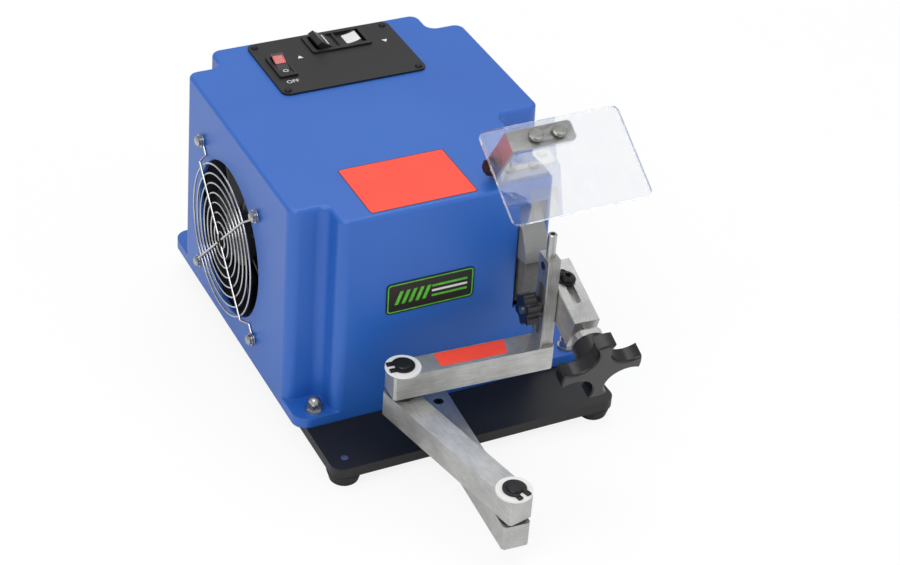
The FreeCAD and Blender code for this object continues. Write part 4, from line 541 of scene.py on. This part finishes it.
def direction_marks():
    """The white lens on the direction switch and the line on its raised end."""
    lens = moved(rounded(5.75, 6.25, 1.2), 131.3, DIRECTION_Y + 0.2)
    laid("direction_lens", lens, "direction_paddle", WHITE_LENS_THICK, lens_white, "direction", slices=12)
    line = moved(rounded(0.75, 7.0, 0.4), 110.0, DIRECTION_Y)
    laid("direction_line", line, "direction_paddle", LINE_PRINT_THICK, print_white, "direction", slices=3)


triangle_mark("left_mark", 84.4, 210.4, 2.1)
triangle_mark("right_mark", 153.7, 212.0, -2.1)
rocker_marks()
off_letters()
direction_marks()


# Studio

CAMERA_PLACE = Vector((-0.4976, -1.0622, 0.9980))
CAMERA_AZIMUTH = math.radians(-28.19)
CAMERA_ELEVATION = math.radians(35.25)
CAMERA_ROLL = 0.07279
FOCAL_PIXELS = 2226.77
IMAGE_WIDTH = 900
SENSOR_WIDTH = 36.0
FLOOR_REACH = 3.0
LAMP_AIM = Vector((0.09, 0.12, 0.1))


def camera():
    """The photograph's camera, which looks along an azimuth and down by an elevation, with its roll."""
    item = bpy.data.objects.new("camera", bpy.data.cameras.new("camera"))
    bpy.context.scene.collection.objects.link(item)
    item.data.sensor_width = SENSOR_WIDTH
    item.data.lens = SENSOR_WIDTH * FOCAL_PIXELS / IMAGE_WIDTH
    item.data.clip_start = 0.05
    level = math.cos(CAMERA_ELEVATION)
    back = Vector((math.sin(CAMERA_AZIMUTH) * level, -math.cos(CAMERA_AZIMUTH) * level,
                   math.sin(CAMERA_ELEVATION)))
    right = (-back).cross(Vector((0, 0, 1))).normalized()
    up = right.cross(-back)
    tilted_right = math.cos(CAMERA_ROLL) * right + math.sin(CAMERA_ROLL) * up
    tilted_up = -math.sin(CAMERA_ROLL) * right + math.cos(CAMERA_ROLL) * up
    turn = Matrix((tilted_right, tilted_up, back)).transposed()
    item.matrix_world = Matrix.Translation(CAMERA_PLACE) @ turn.to_4x4()
    bpy.context.scene.camera = item


def lamp(name, place, size, power, colour=(1, 1, 1)):
    """A square soft lamp aimed at the middle of the object."""
    light = bpy.data.lights.new(name, "AREA")
    light.size = size
    light.energy = power
    light.color = colour
    item = bpy.data.objects.new(name, light)
    item.location = place
    aim = LAMP_AIM - item.location
    item.rotation_euler = aim.to_track_quat("-Z", "Y").to_euler()
    bpy.context.scene.collection.objects.link(item)


def white_to_camera(tree, shader_output, target, kind, share):
    """Mixes a share of plain white into what the camera sees, also through clear pieces."""
    path = tree.nodes.new("ShaderNodeLightPath")
    seen = tree.nodes.new("ShaderNodeMath")
    seen.operation = "MAXIMUM"
    tree.links.new(path.outputs["Is Camera Ray"], seen.inputs[0])
    tree.links.new(path.outputs["Is Transmission Ray"], seen.inputs[1])
    part = tree.nodes.new("ShaderNodeMath")
    part.operation = "MULTIPLY"
    part.inputs[1].default_value = share
    tree.links.new(seen.outputs["Value"], part.inputs[0])
    white = tree.nodes.new(kind)
    white.inputs["Color"].default_value = (1, 1, 1, 1)
    white.inputs["Strength"].default_value = 1.0
    mix = tree.nodes.new("ShaderNodeMixShader")
    tree.links.new(part.outputs["Value"], mix.inputs["Fac"])
    tree.links.new(shader_output, mix.inputs[1])
    tree.links.new(white.outputs[0], mix.inputs[2])
    tree.links.new(mix.outputs["Shader"], target)


def sky():
    """A soft even world that the camera sees as white."""
    world = bpy.data.worlds.new("studio")
    bpy.context.scene.world = world
    world.use_nodes = True
    tree = world.node_tree
    plain = tree.nodes["Background"]
    plain.inputs["Color"].default_value = (0.97, 0.98, 1.0, 1)
    plain.inputs["Strength"].default_value = 0.55
    target = tree.nodes["World Output"].inputs["Surface"]
    white_to_camera(tree, plain.outputs["Background"], target, "ShaderNodeBackground", 1.0)


def floor():
    """A pale floor that keeps a faint shadow."""
    mesh = bpy.data.meshes.new("floor")
    reach = FLOOR_REACH
    corners = [(-reach, -reach, 0), (reach, -reach, 0), (reach, reach, 0), (-reach, reach, 0)]
    mesh.from_pydata(corners, [], [(0, 1, 2, 3)])
    item = bpy.data.objects.new("floor", mesh)
    bpy.context.scene.collection.objects.link(item)
    material, tree, shader = new_material("floor_white", Roughness=0.9)
    shade = noise(tree, texture_space(tree), 3.0)
    pale = blend(tree, shade, (0.90, 0.90, 0.90, 1), (0.93, 0.93, 0.93, 1))
    tree.links.new(pale, shader.inputs["Base Color"])
    target = tree.nodes["Material Output"].inputs["Surface"]
    white_to_camera(tree, shader.outputs["BSDF"], target, "ShaderNodeEmission", 0.86)
    mesh.materials.append(material)


sky()
floor()
lamp("key", Vector((-1.1, -0.9, 1.9)), size=1.4, power=26.0, colour=(1.0, 0.99, 0.97))
lamp("fill", Vector((1.5, -1.6, 1.0)), size=1.6, power=9.0, colour=(0.97, 0.98, 1.0))
lamp("top", Vector((0.4, 0.9, 2.0)), size=1.2, power=14.0)
camera()
bpy.context.scene.view_settings.view_transform = "Standard"
